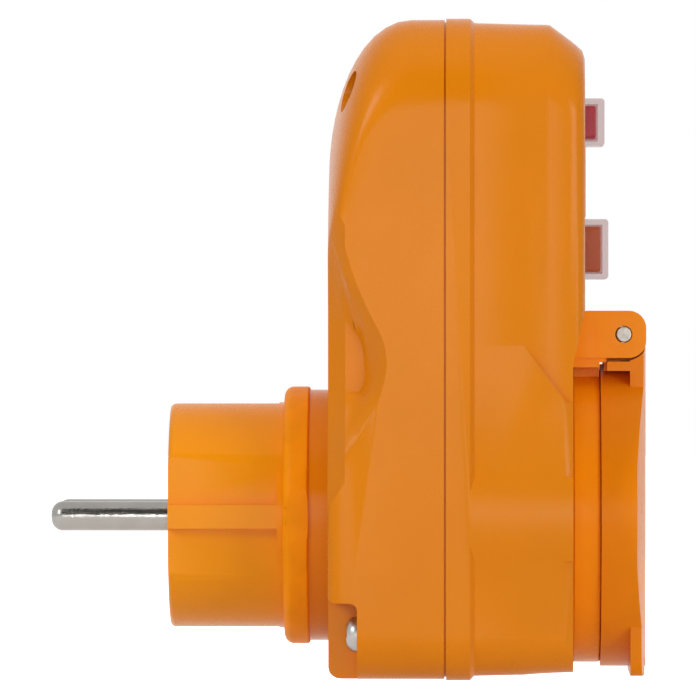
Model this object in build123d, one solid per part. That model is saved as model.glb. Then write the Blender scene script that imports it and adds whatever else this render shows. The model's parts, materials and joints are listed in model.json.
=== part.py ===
from build123d import *
import os
from math import atan2, cos, degrees, radians, sin, sqrt

os.makedirs("parts", exist_ok=True)

# Residual current adapter plug with a lidded outlet, in millimetres.
# The origin is the middle of the plug's mating face, +X points from the plug to the outlet,
# +Z up and Y across. The plug pins point along -X.

# Clearances shared by the pieces
cut_over = 1.0
seat_gap = 0.1
slide_gap = 0.3
pin_seat_gap = 0.03
swing_gap = 0.5

# Plug pins, of the usual two pin size with earth clips at the sides
pin_pitch = 19.0
pin_radius = 2.4
pin_length = 19.0
pin_tip_radius = 1.9
pin_root_radius = 2.6
pin_root_reach = 5.5
pin_tail_radius = 1.6
pin_tail_reach = 1.1

# Plug body
plug_radius = 18.3
plug_depth = 18.5
plug_edge_radius = 0.9
plug_flat_offset = 15.5
plug_rib_width = 3.8
plug_rib_height = 1.7
plug_neck_radius = 17.4
plug_spigot_radius = 17.0

# Earth strap of the plug
earth_strip_width = 5.6
earth_strip_thickness = 0.9
earth_strip_offset = 16.6
earth_strip_start = 1.4
earth_strip_lead_in = 1.6

# Seal ring and collar behind the plug body
seal_ring_width = 4.1
seal_ring_radius = 20.85
seal_ring_edge = 1.5
ring_flat_depth = 0.35
collar_width = 3.4
collar_radius = 20.35

# Housing outline, seen along X
housing_width = 70.0
panel_top_margin = 16.15
housing_bottom_margin = 1.95
top_corner_radius = 14.5
bottom_corner_radius = 7.0
wall = 2.4

# Rear housing
rear_depth = 18.8
rear_inset = 0.2
rear_edge_run = 2.0
rear_edge_inset = 1.8
shoulder_run = 13.2
shoulder_rise = 25.4
shoulder_start_angle = 12.0
shoulder_corner_share = 0.9
shoulder_blend_power = 4
rear_section_count = 12

# Thumb grip in each side of the rear housing
grip_height = 53.4
grip_bottom = 0.1
grip_reach = 10.0
grip_lip_depth = 1.2
grip_floor_depth = 4.2
grip_edge_run = 2.8
grip_edge_inset = 2.6

# Front housing
lip_depth = 3.8
lip_step_run = 0.7
body_inset = 0.7
front_depth = 22.1
lower_depth = 20.2
front_edge_inset = 4.45
front_top_drop = 6.3
front_bottom_drop = 1.3
side_band_half_height = 4.3
side_band_slope = 2.4
front_chamfer_run = 1.6
front_chamfer_inset = 1.1
chin_drop = 4.8
chin_gap = 0.2
lower_block_top = 27.5
lower_block_front_top = 18.5
pad_height = 0.25
pad_width = 26.0

# Seam groove and seal in the parting face
seam_width = 0.3
seam_depth = 0.35
seal_inset = 0.75
seal_width = 0.9
seal_height = 1.1

# Housing screws
screw_shaft_radius = 1.5
screw_head_radius = 2.8
screw_head_height = 1.8
screw_length = 26.0
screw_recess = 1.1
screw_boss_radius = 3.5
low_screw_side_margin = 5.0
low_screw_margin = 7.4
low_notch_depth = 4.7
low_notch_half_height = 5.0
low_notch_corner_radius = 1.2
high_screw_side_margin = 10.0
high_screw_margin = 11.8
high_pocket_radius = 3.3
high_pocket_floor = 10.0

# Outlet frame
outlet_bore_gap = 0.6
outlet_collar_wall = 1.25
outlet_collar_depth = 4.5
outlet_rim_thickness = 1.1
outlet_cup_wall = 1.2
outlet_spigot_wall = 1.4
outlet_spigot_depth = 6.6
snap_lug_count = 4
snap_lug_width = 6.0
snap_lug_height = 0.7
snap_lug_depth = 1.6
frame_seal_thickness = 0.3

# Outlet insert
well_radius = 20.0
well_depth = 17.5
well_floor = 3.0
outlet_hole_radius = 2.65
guide_rib_width = 4.6
guide_rib_height = 2.3

# Hinge
hinge_rise = 5.45
hinge_reach = 8.3
hinge_pin_radius = 1.25
hinge_pin_overhang = 0.15
hinge_hole_gap = 0.12
hinge_run_gap = 0.07
ear_radius = 3.8
ear_reach = 3.6
ear_corner_radius = 2.8
ear_outer = 13.0
ear_inner = 9.5
hinge_block_half_width = 12.4
hinge_block_depth = 4.4
hinge_root_half_width = 8.0
knuckle_radius = 3.2
knuckle_inner = 4.6
spring_wire = 0.55
spring_radius = 2.3
hinge_spring_turns = 14

# Lid
lid_overhang = 0.65
lid_gap = 0.25
lid_band_depth = 4.55
lid_band_wall = 1.8
lid_plate = 2.7
lid_crown_radius = 160.0
lid_inner_rib = 1.4
lid_inner_rib_depth = 3.1
gasket_width = 1.7
gasket_depth = 3.4
ledge_half_width = 12.9
ledge_thickness = 1.5
ledge_run = 3.7
ledge_drop = 4.4
tab_half_width = 17.0
tab_thickness = 2.4
tab_margin = 0.2
tab_top = -15.0
tab_corner_radius = 2.5

# Outlet contacts and their carrier
sleeve_inner_radius = 2.45
sleeve_wall = 0.5
sleeve_length = 11.4
sleeve_slit = 0.8
carrier_half_width = 15.2
carrier_half_height = 9.0
carrier_depth = 12.4
carrier_corner_radius = 2.0
earth_clip_width = 7.0
earth_clip_thickness = 0.8
earth_clip_reach = 4.1
earth_clip_length = 14.5

# Plug retainer
retainer_radius = 20.3
retainer_thickness = 2.0
retainer_screw_circle = 18.7
retainer_screw_radius = 0.85
retainer_screw_head = 1.6
retainer_screw_depth = 3.4

# Circuit board
board_thickness = 1.6
board_offset = 2.2
board_side_margin = 5.0
board_bottom_gap = 2.5
board_top_margin = 4.8
board_neck_margin = 2.5
board_neck_height = 14.0
board_post_radius = 2.2
board_post_side_margin = 8.0
board_low_post_margin = 4.0
board_high_post_margin = 4.5

# Sensing transformer around both conductors
core_outer_radius = 11.4
core_wall = 4.4
core_depth = 9.4
core_drop = 6.1
winding_build = 0.75
core_board_gap = 0.4

# Conductors
conductor_radius = 0.65
conductor_bend = 2.2
conductor_spacing = 2.4

# Contact set
contact_side_share = 4 / 7
contact_pitch = 6.4
contact_radius = 1.5
contact_height = 2.2
contact_plate = 0.8
contact_plate_width = 5.0
contact_gap = 2.1
bridge_thickness = 0.8
bridge_width = 4.0

# Contact carriage pushed by the reset button
carriage_end_margin = 0.5
carriage_height = 5.4
carriage_depth = 4.4
carriage_boss_radius = 3.4

# Buttons and their covers
button_pitch = 20.55
test_height = 5.3
test_width = 9.0
test_rise = 2.0
reset_margin = 9.8
reset_height = 7.3
reset_width = 12.0
reset_rise = 2.75
button_edge_radius = 0.5
cover_wall = 0.9
cover_gap = 0.3
cover_edge_radius = 0.8
test_cover_rise = 3.4
reset_cover_rise = 4.0
cover_flange = 1.4
cover_flange_thickness = 0.8
front_wall = 2.4
guide_gap = 0.15
button_flange = 1.2
button_flange_thickness = 1.1
guide_thickness = 3.0
guide_corner_radius = 1.5
guide_leg_radius = 1.8
guide_leg_side_gap = 7.0
guide_leg_margin = 0.2
button_spring_wire = 0.5
button_spring_radius = 2.6
button_spring_turns = 5
test_stem_radius = 1.3
test_travel = 1.5

# Trip relay on the board
relay_side_margin = 8.5
relay_lift = 2.2
relay_coil_radius = 4.6
relay_coil_depth = 8.2
relay_core_radius = 1.8
relay_plate = 1.3
relay_half_height = 5.0
relay_limb_offset = 6.6
armature_thickness = 1.0
armature_gap = 0.25

# Other board components
varistor_radius = 4.6
varistor_thickness = 3.4
capacitor_size = 9.0
capacitor_depth = 6.0
resistor_radius = 1.4
resistor_length = 8.6
chip_length = 8.0
chip_width = 5.0
chip_thickness = 1.6

# Grip outlines as shares of its reach and height, from the top down to the lower corner
grip_lip_shares = [(0.0, 1.0), (0.24, 0.888), (0.44, 0.747), (0.69, 0.625), (0.95, 0.522)]
grip_lip_shares += [(1.0, 0.47), (0.94, 0.39), (0.82, 0.317)]
grip_wall_shares = [(0.0, 0.916), (0.18, 0.772), (0.30, 0.698), (0.46, 0.640), (0.61, 0.581)]
grip_wall_shares += [(0.75, 0.530), (0.81, 0.470), (0.79, 0.412), (0.64, 0.350)]
grip_floor_shares = [(0.0, 0.612), (0.32, 0.582), (0.45, 0.552), (0.55, 0.509)]
grip_floor_shares += [(0.58, 0.455), (0.57, 0.406), (0.50, 0.376)]
grip_low_shares = [0.0, 0.120, 0.376]
grip_edge_high_shares = [0.869, 0.710, 0.585]
grip_edge_low_shares = [0.108, 0.234, 0.376]

# Front housing sections as shares of its depth and of its three edge insets
front_section_shares = [(0.556, 0.01, 0.04, 0.3), (0.706, 0.30, 0.05, 0.6)]
front_section_shares += [(0.747, 0.30, 0.06, 0.7), (0.864, 0.31, 0.40, 0.9)]
front_section_shares += [(0.932, 0.38, 0.61, 1.0), (0.982, 0.64, 0.79, 1.0), (1.0, 1.0, 1.0, 1.0)]

# Places that follow from the sizes above
pin_y = pin_pitch / 2
pin_root_length = plug_depth + pin_root_reach
ring_start = plug_depth
collar_start = ring_start + seal_ring_width
rear_x = collar_start + collar_width
parting_x = rear_x + rear_depth
front_x = parting_x + front_depth
lower_x = parting_x + lower_depth
half_width = housing_width / 2
outlet_bore_radius = well_radius + outlet_bore_gap
outlet_cup_radius = well_radius + outlet_cup_wall
outlet_spigot_radius = outlet_cup_radius + outlet_spigot_wall
outlet_collar_radius = outlet_spigot_radius + outlet_collar_wall
guide_rib_offset = well_radius - guide_rib_height
earth_clip_grip = well_radius - earth_clip_reach
lid_radius = outlet_collar_radius + lid_overhang
housing_bottom = -outlet_collar_radius - housing_bottom_margin
tab_bottom = housing_bottom + tab_margin
hinge_height = outlet_collar_radius + hinge_rise
chin_bottom = hinge_height - chin_drop
chin_top = hinge_height + ear_radius + chin_gap
reset_centre_z = chin_top + reset_margin
test_centre_z = reset_centre_z + button_pitch
housing_top = test_centre_z + panel_top_margin
low_screw_y = half_width - low_screw_side_margin
low_screw_z = housing_bottom + low_screw_margin
high_screw_y = half_width - high_screw_side_margin
high_screw_z = housing_top - high_screw_margin
board_half_width = half_width - board_side_margin
board_bottom = chin_bottom + board_bottom_gap
board_top = housing_top - board_top_margin
board_neck_half_width = high_screw_y - screw_boss_radius - board_neck_margin
board_neck_bottom = board_top - board_neck_height
board_post_y = board_half_width - board_post_side_margin
board_low_post_z = board_bottom + board_low_post_margin
board_high_post_z = board_neck_bottom - board_high_post_margin
contact_y = half_width * contact_side_share
contact_centre_z = reset_centre_z
contact_plate_top = contact_centre_z + contact_pitch / 2 + contact_plate_width / 2
carriage_half_length = contact_y + bridge_width / 2 + carriage_end_margin
core_inner_radius = core_outer_radius - core_wall
core_centre_z = contact_centre_z - core_drop
guide_leg_y = contact_y - guide_leg_side_gap
guide_half_width = guide_leg_y + guide_leg_radius + guide_leg_margin
relay_y = relay_side_margin - board_half_width
relay_z = contact_plate_top + relay_half_height + relay_lift
rear_inner_x = rear_x + wall
lower_inner_x = lower_x - wall
panel_inner_x = front_x - front_wall
collar_x = lower_x + frame_seal_thickness
rim_x = lower_x + outlet_collar_depth
floor_x = rim_x - well_depth
floor_back_x = floor_x - well_floor
hinge_x = lower_x + hinge_reach
band_x = rim_x + lid_gap
plate_x = band_x + lid_band_depth
lid_front_x = plate_x + lid_plate
board_x = parting_x + board_offset
board_front_x = board_x + board_thickness
core_front_x = board_x - core_board_gap - winding_build
core_rear_x = core_front_x - core_depth
carrier_x = floor_back_x - seat_gap
strap_bridge_x = rear_inner_x + seat_gap / 2
retainer_x = rear_inner_x + seat_gap
pin_tail_end = retainer_x + retainer_thickness + pin_tail_reach
guide_front_x = panel_inner_x - cover_flange_thickness - seat_gap
guide_rear_x = guide_front_x - guide_thickness
flange_x = guide_rear_x - seat_gap
contact_face_x = board_front_x + seat_gap + contact_plate + contact_height
bridge_x = contact_face_x + contact_gap
carriage_x = bridge_x + bridge_thickness
carriage_front_x = carriage_x + carriage_depth


def ring(x, depth, outer, inner):
    """Flat ring about the plug's axis, from x along +X."""
    solid = rod(x, depth, outer)
    return solid - rod(x - cut_over, depth + 2 * cut_over, inner)


def rod(x, depth, radius, y=0.0, z=0.0):
    """Cylinder along X that starts at x."""
    plane = Plane(origin=(x, y, z), x_dir=(0, 1, 0), z_dir=(1, 0, 0))
    return extrude(plane * Circle(radius), depth)


def block(low, high):
    """Box between two corners."""
    size = [b - a for a, b in zip(low, high)]
    middle = [(a + b) / 2 for a, b in zip(low, high)]
    return Pos(*middle) * Box(*size)


def both_sides(solid):
    """A solid and its mirror image across the plane Y = 0."""
    return solid + solid.mirror(Plane.XZ)


def outline(x, side, top, bottom, top_radius, bottom_radius):
    """Housing outline in the plane at x, with its four corners rounded."""
    right, high, low = side, top, bottom
    pts = [(right, low + bottom_radius), (right, high - top_radius)]
    pts += [(right - top_radius, high), (top_radius - right, high)]
    pts += [(-right, high - top_radius), (-right, low + bottom_radius)]
    pts += [(bottom_radius - right, low), (right - bottom_radius, low)]
    edges = []
    arc_centres = {1: (right - top_radius, high - top_radius, top_radius, 0)}
    arc_centres[3] = (top_radius - right, high - top_radius, top_radius, 90)
    arc_centres[5] = (bottom_radius - right, low + bottom_radius, bottom_radius, 180)
    arc_centres[7] = (right - bottom_radius, low + bottom_radius, bottom_radius, 270)
    for i, start in enumerate(pts):
        if i in arc_centres:
            y, z, radius, angle = arc_centres[i]
            edges.append(CenterArc((y, z), radius, angle, 90))
        else:
            edges.append(Line(start, pts[(i + 1) % len(pts)]))
    plane = Plane(origin=(x, 0, 0), x_dir=(0, 1, 0), z_dir=(1, 0, 0))
    return plane * make_face(Wire(edges))


def plain_outline(x, inset):
    """Housing outline drawn in by one inset all round."""
    side = half_width - inset
    radii = (top_corner_radius - inset, bottom_corner_radius - inset)
    return outline(x, side, housing_top - inset, housing_bottom + inset, *radii)


def rear_section(angle, inset):
    """Outline of the rear housing where its shoulder ellipse stands at an angle."""
    start = radians(shoulder_start_angle)
    across = shoulder_run / cos(start)
    x = rear_x + shoulder_run - (across - inset) * cos(radians(angle))
    top = housing_top - rear_inset - shoulder_rise + (shoulder_rise - inset) * sin(radians(angle))
    left = min(1.0, max(0.0, 1 - (x - rear_x - inset) / rear_edge_run))
    edge = rear_edge_inset * (1 - sqrt(1 - left * left))
    side = half_width - rear_inset - inset - edge
    blend = cos(radians(angle)) ** shoulder_blend_power
    high = top_corner_radius - inset
    high += (shoulder_corner_share * half_width - top_corner_radius) * blend
    low = bottom_corner_radius - inset - edge
    return outline(x, side, top, housing_bottom + rear_inset + inset + edge, high, low)


def rear_form(inset, depth):
    """Rear housing form, drawn in by an inset and run to a given place along X."""
    start = radians(shoulder_start_angle)
    across = shoulder_run / cos(start)
    run = shoulder_run - inset
    first = degrees(atan2(sqrt((across - inset) ** 2 - run**2), run))
    steps = rear_section_count
    angles = [first + (90 - first) * (i / steps) ** 1.4 for i in range(steps + 1)]
    sections = [rear_section(angle, inset) for angle in angles]
    sections.append(plain_outline(depth, rear_inset + inset))
    return loft(sections, ruled=True)


def grip_outline(shares, low_share, y, grow):
    """One level of the grip: a curved front edge, a straight lower edge and a straight back."""
    middle = grip_bottom + grip_height / 2
    stretch = 1 + 2 * grow / grip_height
    heights = [middle + (grip_bottom + grip_height * s - middle) * stretch for _, s in shares]
    places = [rear_x + grow * (x > 0) + grip_reach * x for x, _ in shares]
    low = middle + (grip_bottom + grip_height * low_share - middle) * stretch
    back = rear_x - cut_over
    curve = Spline([(x, z) for x, z in zip(places, heights)])
    foot = Line((places[-1], heights[-1]), (back, low))
    heel = Line((back, low), (back, heights[0]))
    head = Line((back, heights[0]), (places[0], heights[0]))
    plane = Plane(origin=(0, y, 0), x_dir=(1, 0, 0), z_dir=(0, -1, 0))
    return plane * make_face(Wire([curve, foot, heel, head]))


def grip_cutter(grow):
    """Space of the thumb grips, grown to leave a wall behind them."""
    lip_y = half_width - rear_inset - grow
    wall_y = lip_y - grip_lip_depth
    floor_y = lip_y - grip_floor_depth
    slope = (lip_y - wall_y) / (lip_y - wall_y + cut_over)
    levels = [grip_outline(grip_lip_shares, grip_low_shares[0], lip_y + cut_over * slope, grow)]
    levels.append(grip_outline(grip_wall_shares, grip_low_shares[1], wall_y, grow))
    levels.append(grip_outline(grip_floor_shares, grip_low_shares[2], floor_y, grow))
    return both_sides(loft(levels, ruled=True))


def grip_edge_cutter():
    """Bevel that runs down the rear edge of each grip."""
    lip_y = half_width - rear_inset
    levels = [lip_y, lip_y - grip_lip_depth, lip_y - grip_floor_depth]
    insets = [rear_edge_inset, (rear_edge_inset + grip_edge_inset) / 2, grip_edge_inset]
    back_high = [grip_lip_shares[0][1], grip_wall_shares[0][1], grip_floor_shares[0][1]]
    reach = 1 + cut_over / grip_edge_run
    back = [y - inset * reach for y, inset in zip(levels, insets)]
    front_x_place = rear_x + grip_edge_run
    front_face = grip_edge_face(front_x_place, levels, grip_edge_high_shares, grip_edge_low_shares)
    back_face = grip_edge_face(rear_x - cut_over, back, back_high, grip_low_shares)
    return both_sides(loft([front_face, back_face], ruled=True))


def grip_edge_face(x, levels, high_shares, low_shares):
    """Cross section of one grip in the plane at x."""
    out = half_width + cut_over
    highs = [grip_bottom + grip_height * share for share in high_shares]
    lows = [grip_bottom + grip_height * share for share in low_shares]
    pts = [(out, highs[0])] + list(zip(levels, highs))
    pts += list(zip(reversed(levels), reversed(lows))) + [(out, lows[0])]
    plane = Plane(origin=(x, 0, 0), x_dir=(0, 1, 0), z_dir=(1, 0, 0))
    return plane * make_face(Polyline(*pts, close=True))


def four_screws(make):
    """One thing at each of the four housing screws, given as a function of y, z and side."""
    low = both_sides(make(low_screw_y, low_screw_z, rear_x + low_notch_depth))
    return low + both_sides(make(high_screw_y, high_screw_z, rear_x + high_pocket_floor))


def screw_notches(grow):
    """Open corners at the bottom and round pockets at the top for the screw heads."""
    inner = low_screw_y - screw_boss_radius - grow
    top = low_screw_z + low_notch_half_height + grow
    back, front = rear_x - cut_over, rear_x + low_notch_depth + grow
    low = housing_bottom - cut_over
    points = [(back, low), (front, low), (front, top), (rear_x, top)]
    points += [(rear_x, top + 2 * cut_over), (back, top + 2 * cut_over)]
    profile = make_face(Polyline(*points, close=True))
    corners = profile.vertices().sort_by_distance((front, top))
    profile = fillet(corners[0], low_notch_corner_radius + grow)
    corners = profile.vertices().sort_by_distance((rear_x, top))
    profile = fillet(corners[0], low_notch_corner_radius)
    plane = Plane(origin=(0, half_width + cut_over, 0), x_dir=(1, 0, 0), z_dir=(0, -1, 0))
    notch = extrude(plane * profile, half_width + cut_over - inner)
    pocket = rod(rear_x - cut_over, high_pocket_floor + cut_over + grow,
                 high_pocket_radius + grow, high_screw_y, high_screw_z)
    return both_sides(notch) + both_sides(pocket)


def board_posts(start, end, radius):
    """Four posts that carry the circuit board."""
    low = rod(start, end - start, radius, board_post_y, board_low_post_z)
    return both_sides(low) + both_sides(rod(start, end - start, radius, board_post_y,
                                            board_high_post_z))


def seal_loop(x, depth, gap):
    """Loop that follows the housing outline, as the seal or as its groove."""
    outer = extrude(plain_outline(x, rear_inset + seal_inset - gap), depth)
    inner = plain_outline(x - cut_over, rear_inset + seal_inset + seal_width + gap)
    return outer - extrude(inner, depth + 2 * cut_over)


def ring_flats(x, depth, radius):
    """Pieces to cut from a ring so that it has a small flat at each side."""
    low = (x - cut_over, radius - ring_flat_depth, -radius)
    high = (x + depth, radius + cut_over, radius)
    return both_sides(block(low, high))


def seam_groove():
    """Narrow groove round the outside of the parting line."""
    start = parting_x - seam_width
    outer = extrude(plain_outline(start, -cut_over), seam_width + cut_over)
    inner = plain_outline(start - cut_over, rear_inset + seam_depth)
    return outer - extrude(inner, seam_width + 3 * cut_over)


def rear_housing():
    """Rear half of the housing: a lofted shell with grips, screw notches and board posts."""
    length = parting_x - rear_x
    cavity = rear_form(wall, parting_x + cut_over) - grip_cutter(wall)
    cavity -= four_screws(lambda y, z, seat: rod(rear_x, length + 2 * cut_over,
                                                 screw_boss_radius, y, z))
    cavity -= screw_notches(wall)
    cavity -= board_posts(rear_x, parting_x + cut_over, board_post_radius)
    collar = rod(collar_start, collar_width + wall, collar_radius)
    collar -= ring_flats(collar_start, collar_width, collar_radius)
    shell = rear_form(0, parting_x) + collar - cavity
    shell -= grip_cutter(0) + grip_edge_cutter()
    shell -= screw_notches(0)
    shell -= four_screws(lambda y, z, seat: rod(rear_x, length + cut_over,
                                                screw_shaft_radius + seat_gap, y, z))
    hole_depth = collar_width + wall + 2 * cut_over
    shell -= rod(collar_start - cut_over, hole_depth, plug_spigot_radius + seat_gap)
    shell -= retainer_screw_places(collar_start + cut_over, hole_depth,
                                   retainer_screw_radius + seat_gap)
    shell -= seal_loop(parting_x - seal_height - seat_gap, seal_height + cut_over, seat_gap / 2)
    shell -= seam_groove()
    post_start = parting_x - board_post_radius
    return shell + board_posts(post_start, board_x, board_post_radius)


def front_form(inset):
    """Front housing form: lip, step, flat sides with a shallow band, and bevelled front."""
    depth = front_depth - inset
    sections = [plain_outline(parting_x - (cut_over if inset else 0), inset)]
    sections.append(plain_outline(parting_x + lip_depth, inset))
    sections.append(plain_outline(parting_x + lip_depth + lip_step_run, inset + body_inset))
    for along, side_share, top_share, bottom_share in front_section_shares:
        side = inset + body_inset + (front_edge_inset - body_inset) * side_share
        top = inset + body_inset + (front_top_drop - body_inset) * top_share
        bottom = inset + body_inset + (front_bottom_drop - body_inset) * bottom_share
        x = parting_x + depth * along
        sections.append(outline(x, half_width - side, housing_top - top, housing_bottom + bottom,
                                top_corner_radius - side, bottom_corner_radius - inset - body_inset))
    return loft(sections, ruled=True)


def side_plate(points, half_depth):
    """Plate cut to an outline in the XZ plane, as wide as the housing."""
    plane = Plane(origin=(0, half_depth, 0), x_dir=(1, 0, 0), z_dir=(0, -1, 0))
    return extrude(plane * make_face(Polyline(*points, close=True)), 2 * half_depth)


def chin_cutter(grow):
    """Space in front of the lower housing, below the control panel."""
    low = housing_bottom - cut_over
    out = front_x + cut_over
    points = [(lower_x - grow, low), (lower_x - grow, chin_bottom + grow)]
    points += [(front_x - grow, chin_top + grow), (out, chin_top + grow), (out, low)]
    return side_plate(points, half_width + cut_over)


def lower_block():
    """Lower half of the front housing, which keeps its full width to the front."""
    start = parting_x + lip_depth
    sections = [plain_outline(start, body_inset)]
    bottom = housing_bottom + front_bottom_drop
    sections.append(outline(lower_x, half_width - body_inset, housing_top - body_inset, bottom,
                            top_corner_radius - body_inset, bottom_corner_radius - body_inset))
    band_start = parting_x + front_depth * front_section_shares[0][0]
    band_end = parting_x + front_depth * front_section_shares[3][0]
    low = housing_bottom - cut_over
    points = [(start, low), (start, lower_block_top), (band_start, lower_block_top)]
    points += [(band_end, lower_block_front_top), (lower_x, lower_block_front_top), (lower_x, low)]
    return loft(sections, ruled=True) & side_plate(points, half_width)


def side_bands():
    """Raised band across each side of the lower housing, level with the lip."""
    low = half_width - body_inset - cut_over
    foot = side_band_half_height + side_band_slope
    slope = cut_over * side_band_slope / body_inset
    points = [(low, foot + slope), (half_width, side_band_half_height)]
    points += [(half_width, -side_band_half_height), (low, -foot - slope)]
    plane = Plane(origin=(parting_x + lip_depth, 0, 0), x_dir=(0, 1, 0), z_dir=(1, 0, 0))
    face = plane * make_face(Polyline(*points, close=True))
    return both_sides(extrude(face, lower_depth - lip_depth))


def front_edge_chamfers():
    """Small chamfer on the lower front edges, broken at the raised band."""
    side = half_width - body_inset
    start = lower_x - front_chamfer_run
    points = [(start, side), (lower_x, side - front_chamfer_inset)]
    points += [(lower_x + cut_over, side - front_chamfer_inset), (lower_x + cut_over, side + cut_over)]
    points += [(start, side + cut_over)]
    gap = side_band_half_height + side_band_slope
    face = make_face(Polyline(*points, close=True))
    low = Pos(0, 0, housing_bottom - cut_over) * extrude(face, -housing_bottom + cut_over - gap)
    high = Pos(0, 0, gap) * extrude(face, lower_block_front_top - gap)
    return both_sides(low + high)


def button_sizes():
    """Height, width, centre height, rise and cover rise of each button."""
    test = (test_height, test_width, test_centre_z, test_rise, test_cover_rise)
    return [test, (reset_height, reset_width, reset_centre_z, reset_rise, reset_cover_rise)]


def front_housing():
    """Front half of the housing, with the control panel above and the outlet opening below."""
    shell = front_form(0) - chin_cutter(0) + lower_block() + side_bands()
    shell -= front_edge_chamfers()
    pad_low = reset_centre_z + reset_height / 2 + cover_gap + cover_wall + pad_height
    pad_high = test_centre_z - test_height / 2 - cover_gap - cover_wall - pad_height
    shell += block((front_x - wall, -pad_width / 2, pad_low),
                   (front_x + pad_height, pad_width / 2, pad_high))
    cavity = front_form(wall) - chin_cutter(wall)
    cavity -= four_screws(lambda y, z, seat: rod(parting_x - cut_over, front_depth,
                                                 screw_boss_radius, y, z))
    shell -= cavity
    shell -= four_screws(lambda y, z, seat: rod(seat, screw_length + seat_gap,
                                                screw_shaft_radius + seat_gap / 2, y, z))
    shell -= rod(collar_x - outlet_spigot_depth - seat_gap, outlet_spigot_depth + cut_over,
                 outlet_spigot_radius + seat_gap)
    shell -= block((lower_x, -ear_outer - seat_gap, 0),
                   (front_x + cut_over, ear_outer + seat_gap, chin_top))
    for height, width, z, rise, cover_rise in button_sizes():
        half_h = height / 2 + cover_gap + cover_wall + seat_gap
        half_w = width / 2 + cover_gap + cover_wall + seat_gap
        shell -= block((panel_inner_x - cut_over, -half_w, z - half_h),
                       (front_x + cut_over, half_w, z + half_h))
    return shell


def housing_seal():
    """Seal loop between the housing halves."""
    return seal_loop(parting_x - seal_height, seal_height, 0)


def housing_screw(y, z, seat):
    """Pan head screw with a cross recess, driven from the rear."""
    head = rod(seat - screw_head_height, screw_head_height, screw_head_radius, y, z)
    edge = head.edges().filter_by(GeomType.CIRCLE).sort_by(Axis.X)[0]
    head = fillet(edge, screw_head_height * 9 / 10)
    arm = screw_head_radius * 2 / 3
    slot = screw_head_height / 5
    start = seat - screw_head_height - cut_over
    cross = block((start, y - arm, z - slot), (start + cut_over + screw_recess, y + arm, z + slot))
    cross += block((start, y - slot, z - arm), (start + cut_over + screw_recess, y + slot, z + arm))
    return head + rod(seat, screw_length, screw_shaft_radius, y, z) - cross


def housing_screws():
    """The four screws that hold the housing together."""
    return four_screws(housing_screw)


def plug_pin(y):
    """Round plug pin with a rounded tip and a thinner tail."""
    pin = rod(-pin_length, pin_length, pin_radius, y)
    tip = pin.edges().filter_by(GeomType.CIRCLE).sort_by(Axis.X)[0]
    pin = fillet(tip, pin_tip_radius) + rod(0, pin_root_length, pin_root_radius, y)
    return pin + rod(pin_root_length, pin_tail_end - pin_root_length, pin_tail_radius, y)


def plug_body():
    """Plug body with side flats, centre ribs, earth grooves and a spigot into the housing."""
    head = rod(0, plug_depth, plug_radius)
    edge = head.edges().filter_by(GeomType.CIRCLE).sort_by(Axis.X)[0]
    head = fillet(edge, plug_edge_radius)
    side = block((-cut_over, plug_flat_offset, -plug_radius),
                 (plug_depth - seat_gap, plug_radius + cut_over, plug_radius))
    half_rib = plug_rib_width / 2
    rib_top = plug_flat_offset + plug_rib_height
    side -= block((-2 * cut_over, 0, -half_rib), (plug_depth + cut_over, rib_top, half_rib))
    head -= both_sides(side)
    body = head + rod(plug_depth - cut_over, seal_ring_width + 2 * cut_over, plug_neck_radius)
    body -= ring(collar_start, 2 * cut_over, plug_radius, plug_spigot_radius)
    body += rod(collar_start - cut_over, rear_inner_x - collar_start + cut_over,
                plug_spigot_radius)
    for y in (pin_y, -pin_y):
        root = pin_root_length + seat_gap
        body -= rod(-cut_over, root + cut_over, pin_root_radius + pin_seat_gap, y)
        body -= rod(0, rear_inner_x + cut_over, pin_tail_radius + seat_gap, y)
    return body - earth_slots()


def earth_slots():
    """Grooves in the top and bottom of the plug body and the slots behind them."""
    half = earth_strip_width / 2 + seat_gap
    low = earth_strip_offset - earth_strip_thickness - seat_gap
    high = earth_strip_offset + seat_gap / 2
    slot = block((-cut_over, -half, low), (rear_inner_x + cut_over, half, high))
    groove_end = plug_depth - plug_edge_radius
    slot += block((-cut_over, -half, low), (groove_end, half, plug_radius + cut_over))
    return slot + slot.mirror(Plane.XY)


def plug_earth_strap():
    """Earth contacts at the top and bottom of the plug, joined by a bridge behind it."""
    half = earth_strip_width / 2
    high, low = earth_strip_offset, earth_strip_offset - earth_strip_thickness
    start = earth_strip_start
    points = [(start, low), (start + earth_strip_lead_in, high), (strap_bridge_x, high)]
    points += [(strap_bridge_x + earth_strip_thickness, high)]
    points += [(strap_bridge_x + earth_strip_thickness, 0), (strap_bridge_x, 0)]
    points += [(strap_bridge_x, low)]
    leg = side_plate(points, half)
    return leg + leg.mirror(Plane.XY)


def plug_seal_ring():
    """Elastomer ring round the neck of the plug."""
    outer = rod(ring_start, seal_ring_width, seal_ring_radius)
    edges = outer.edges().filter_by(GeomType.CIRCLE).sort_by(Axis.X)
    outer = fillet(edges[0], seal_ring_edge)
    outer = fillet(outer.edges().filter_by(GeomType.CIRCLE).sort_by(Axis.X)[-1], seal_ring_edge / 4)
    outer -= rod(ring_start - cut_over, seal_ring_width + 2 * cut_over, plug_neck_radius + seat_gap / 2)
    return outer - ring_flats(ring_start, seal_ring_width + cut_over, seal_ring_radius)


def retainer_screw_places(x, depth, radius):
    """Four rods on the circle of the retainer screws."""
    rods = [rod(x, depth, radius, retainer_screw_circle * cos(radians(45 + 90 * i)),
                retainer_screw_circle * sin(radians(45 + 90 * i))) for i in range(4)]
    return rods[0] + rods[1:]


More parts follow.
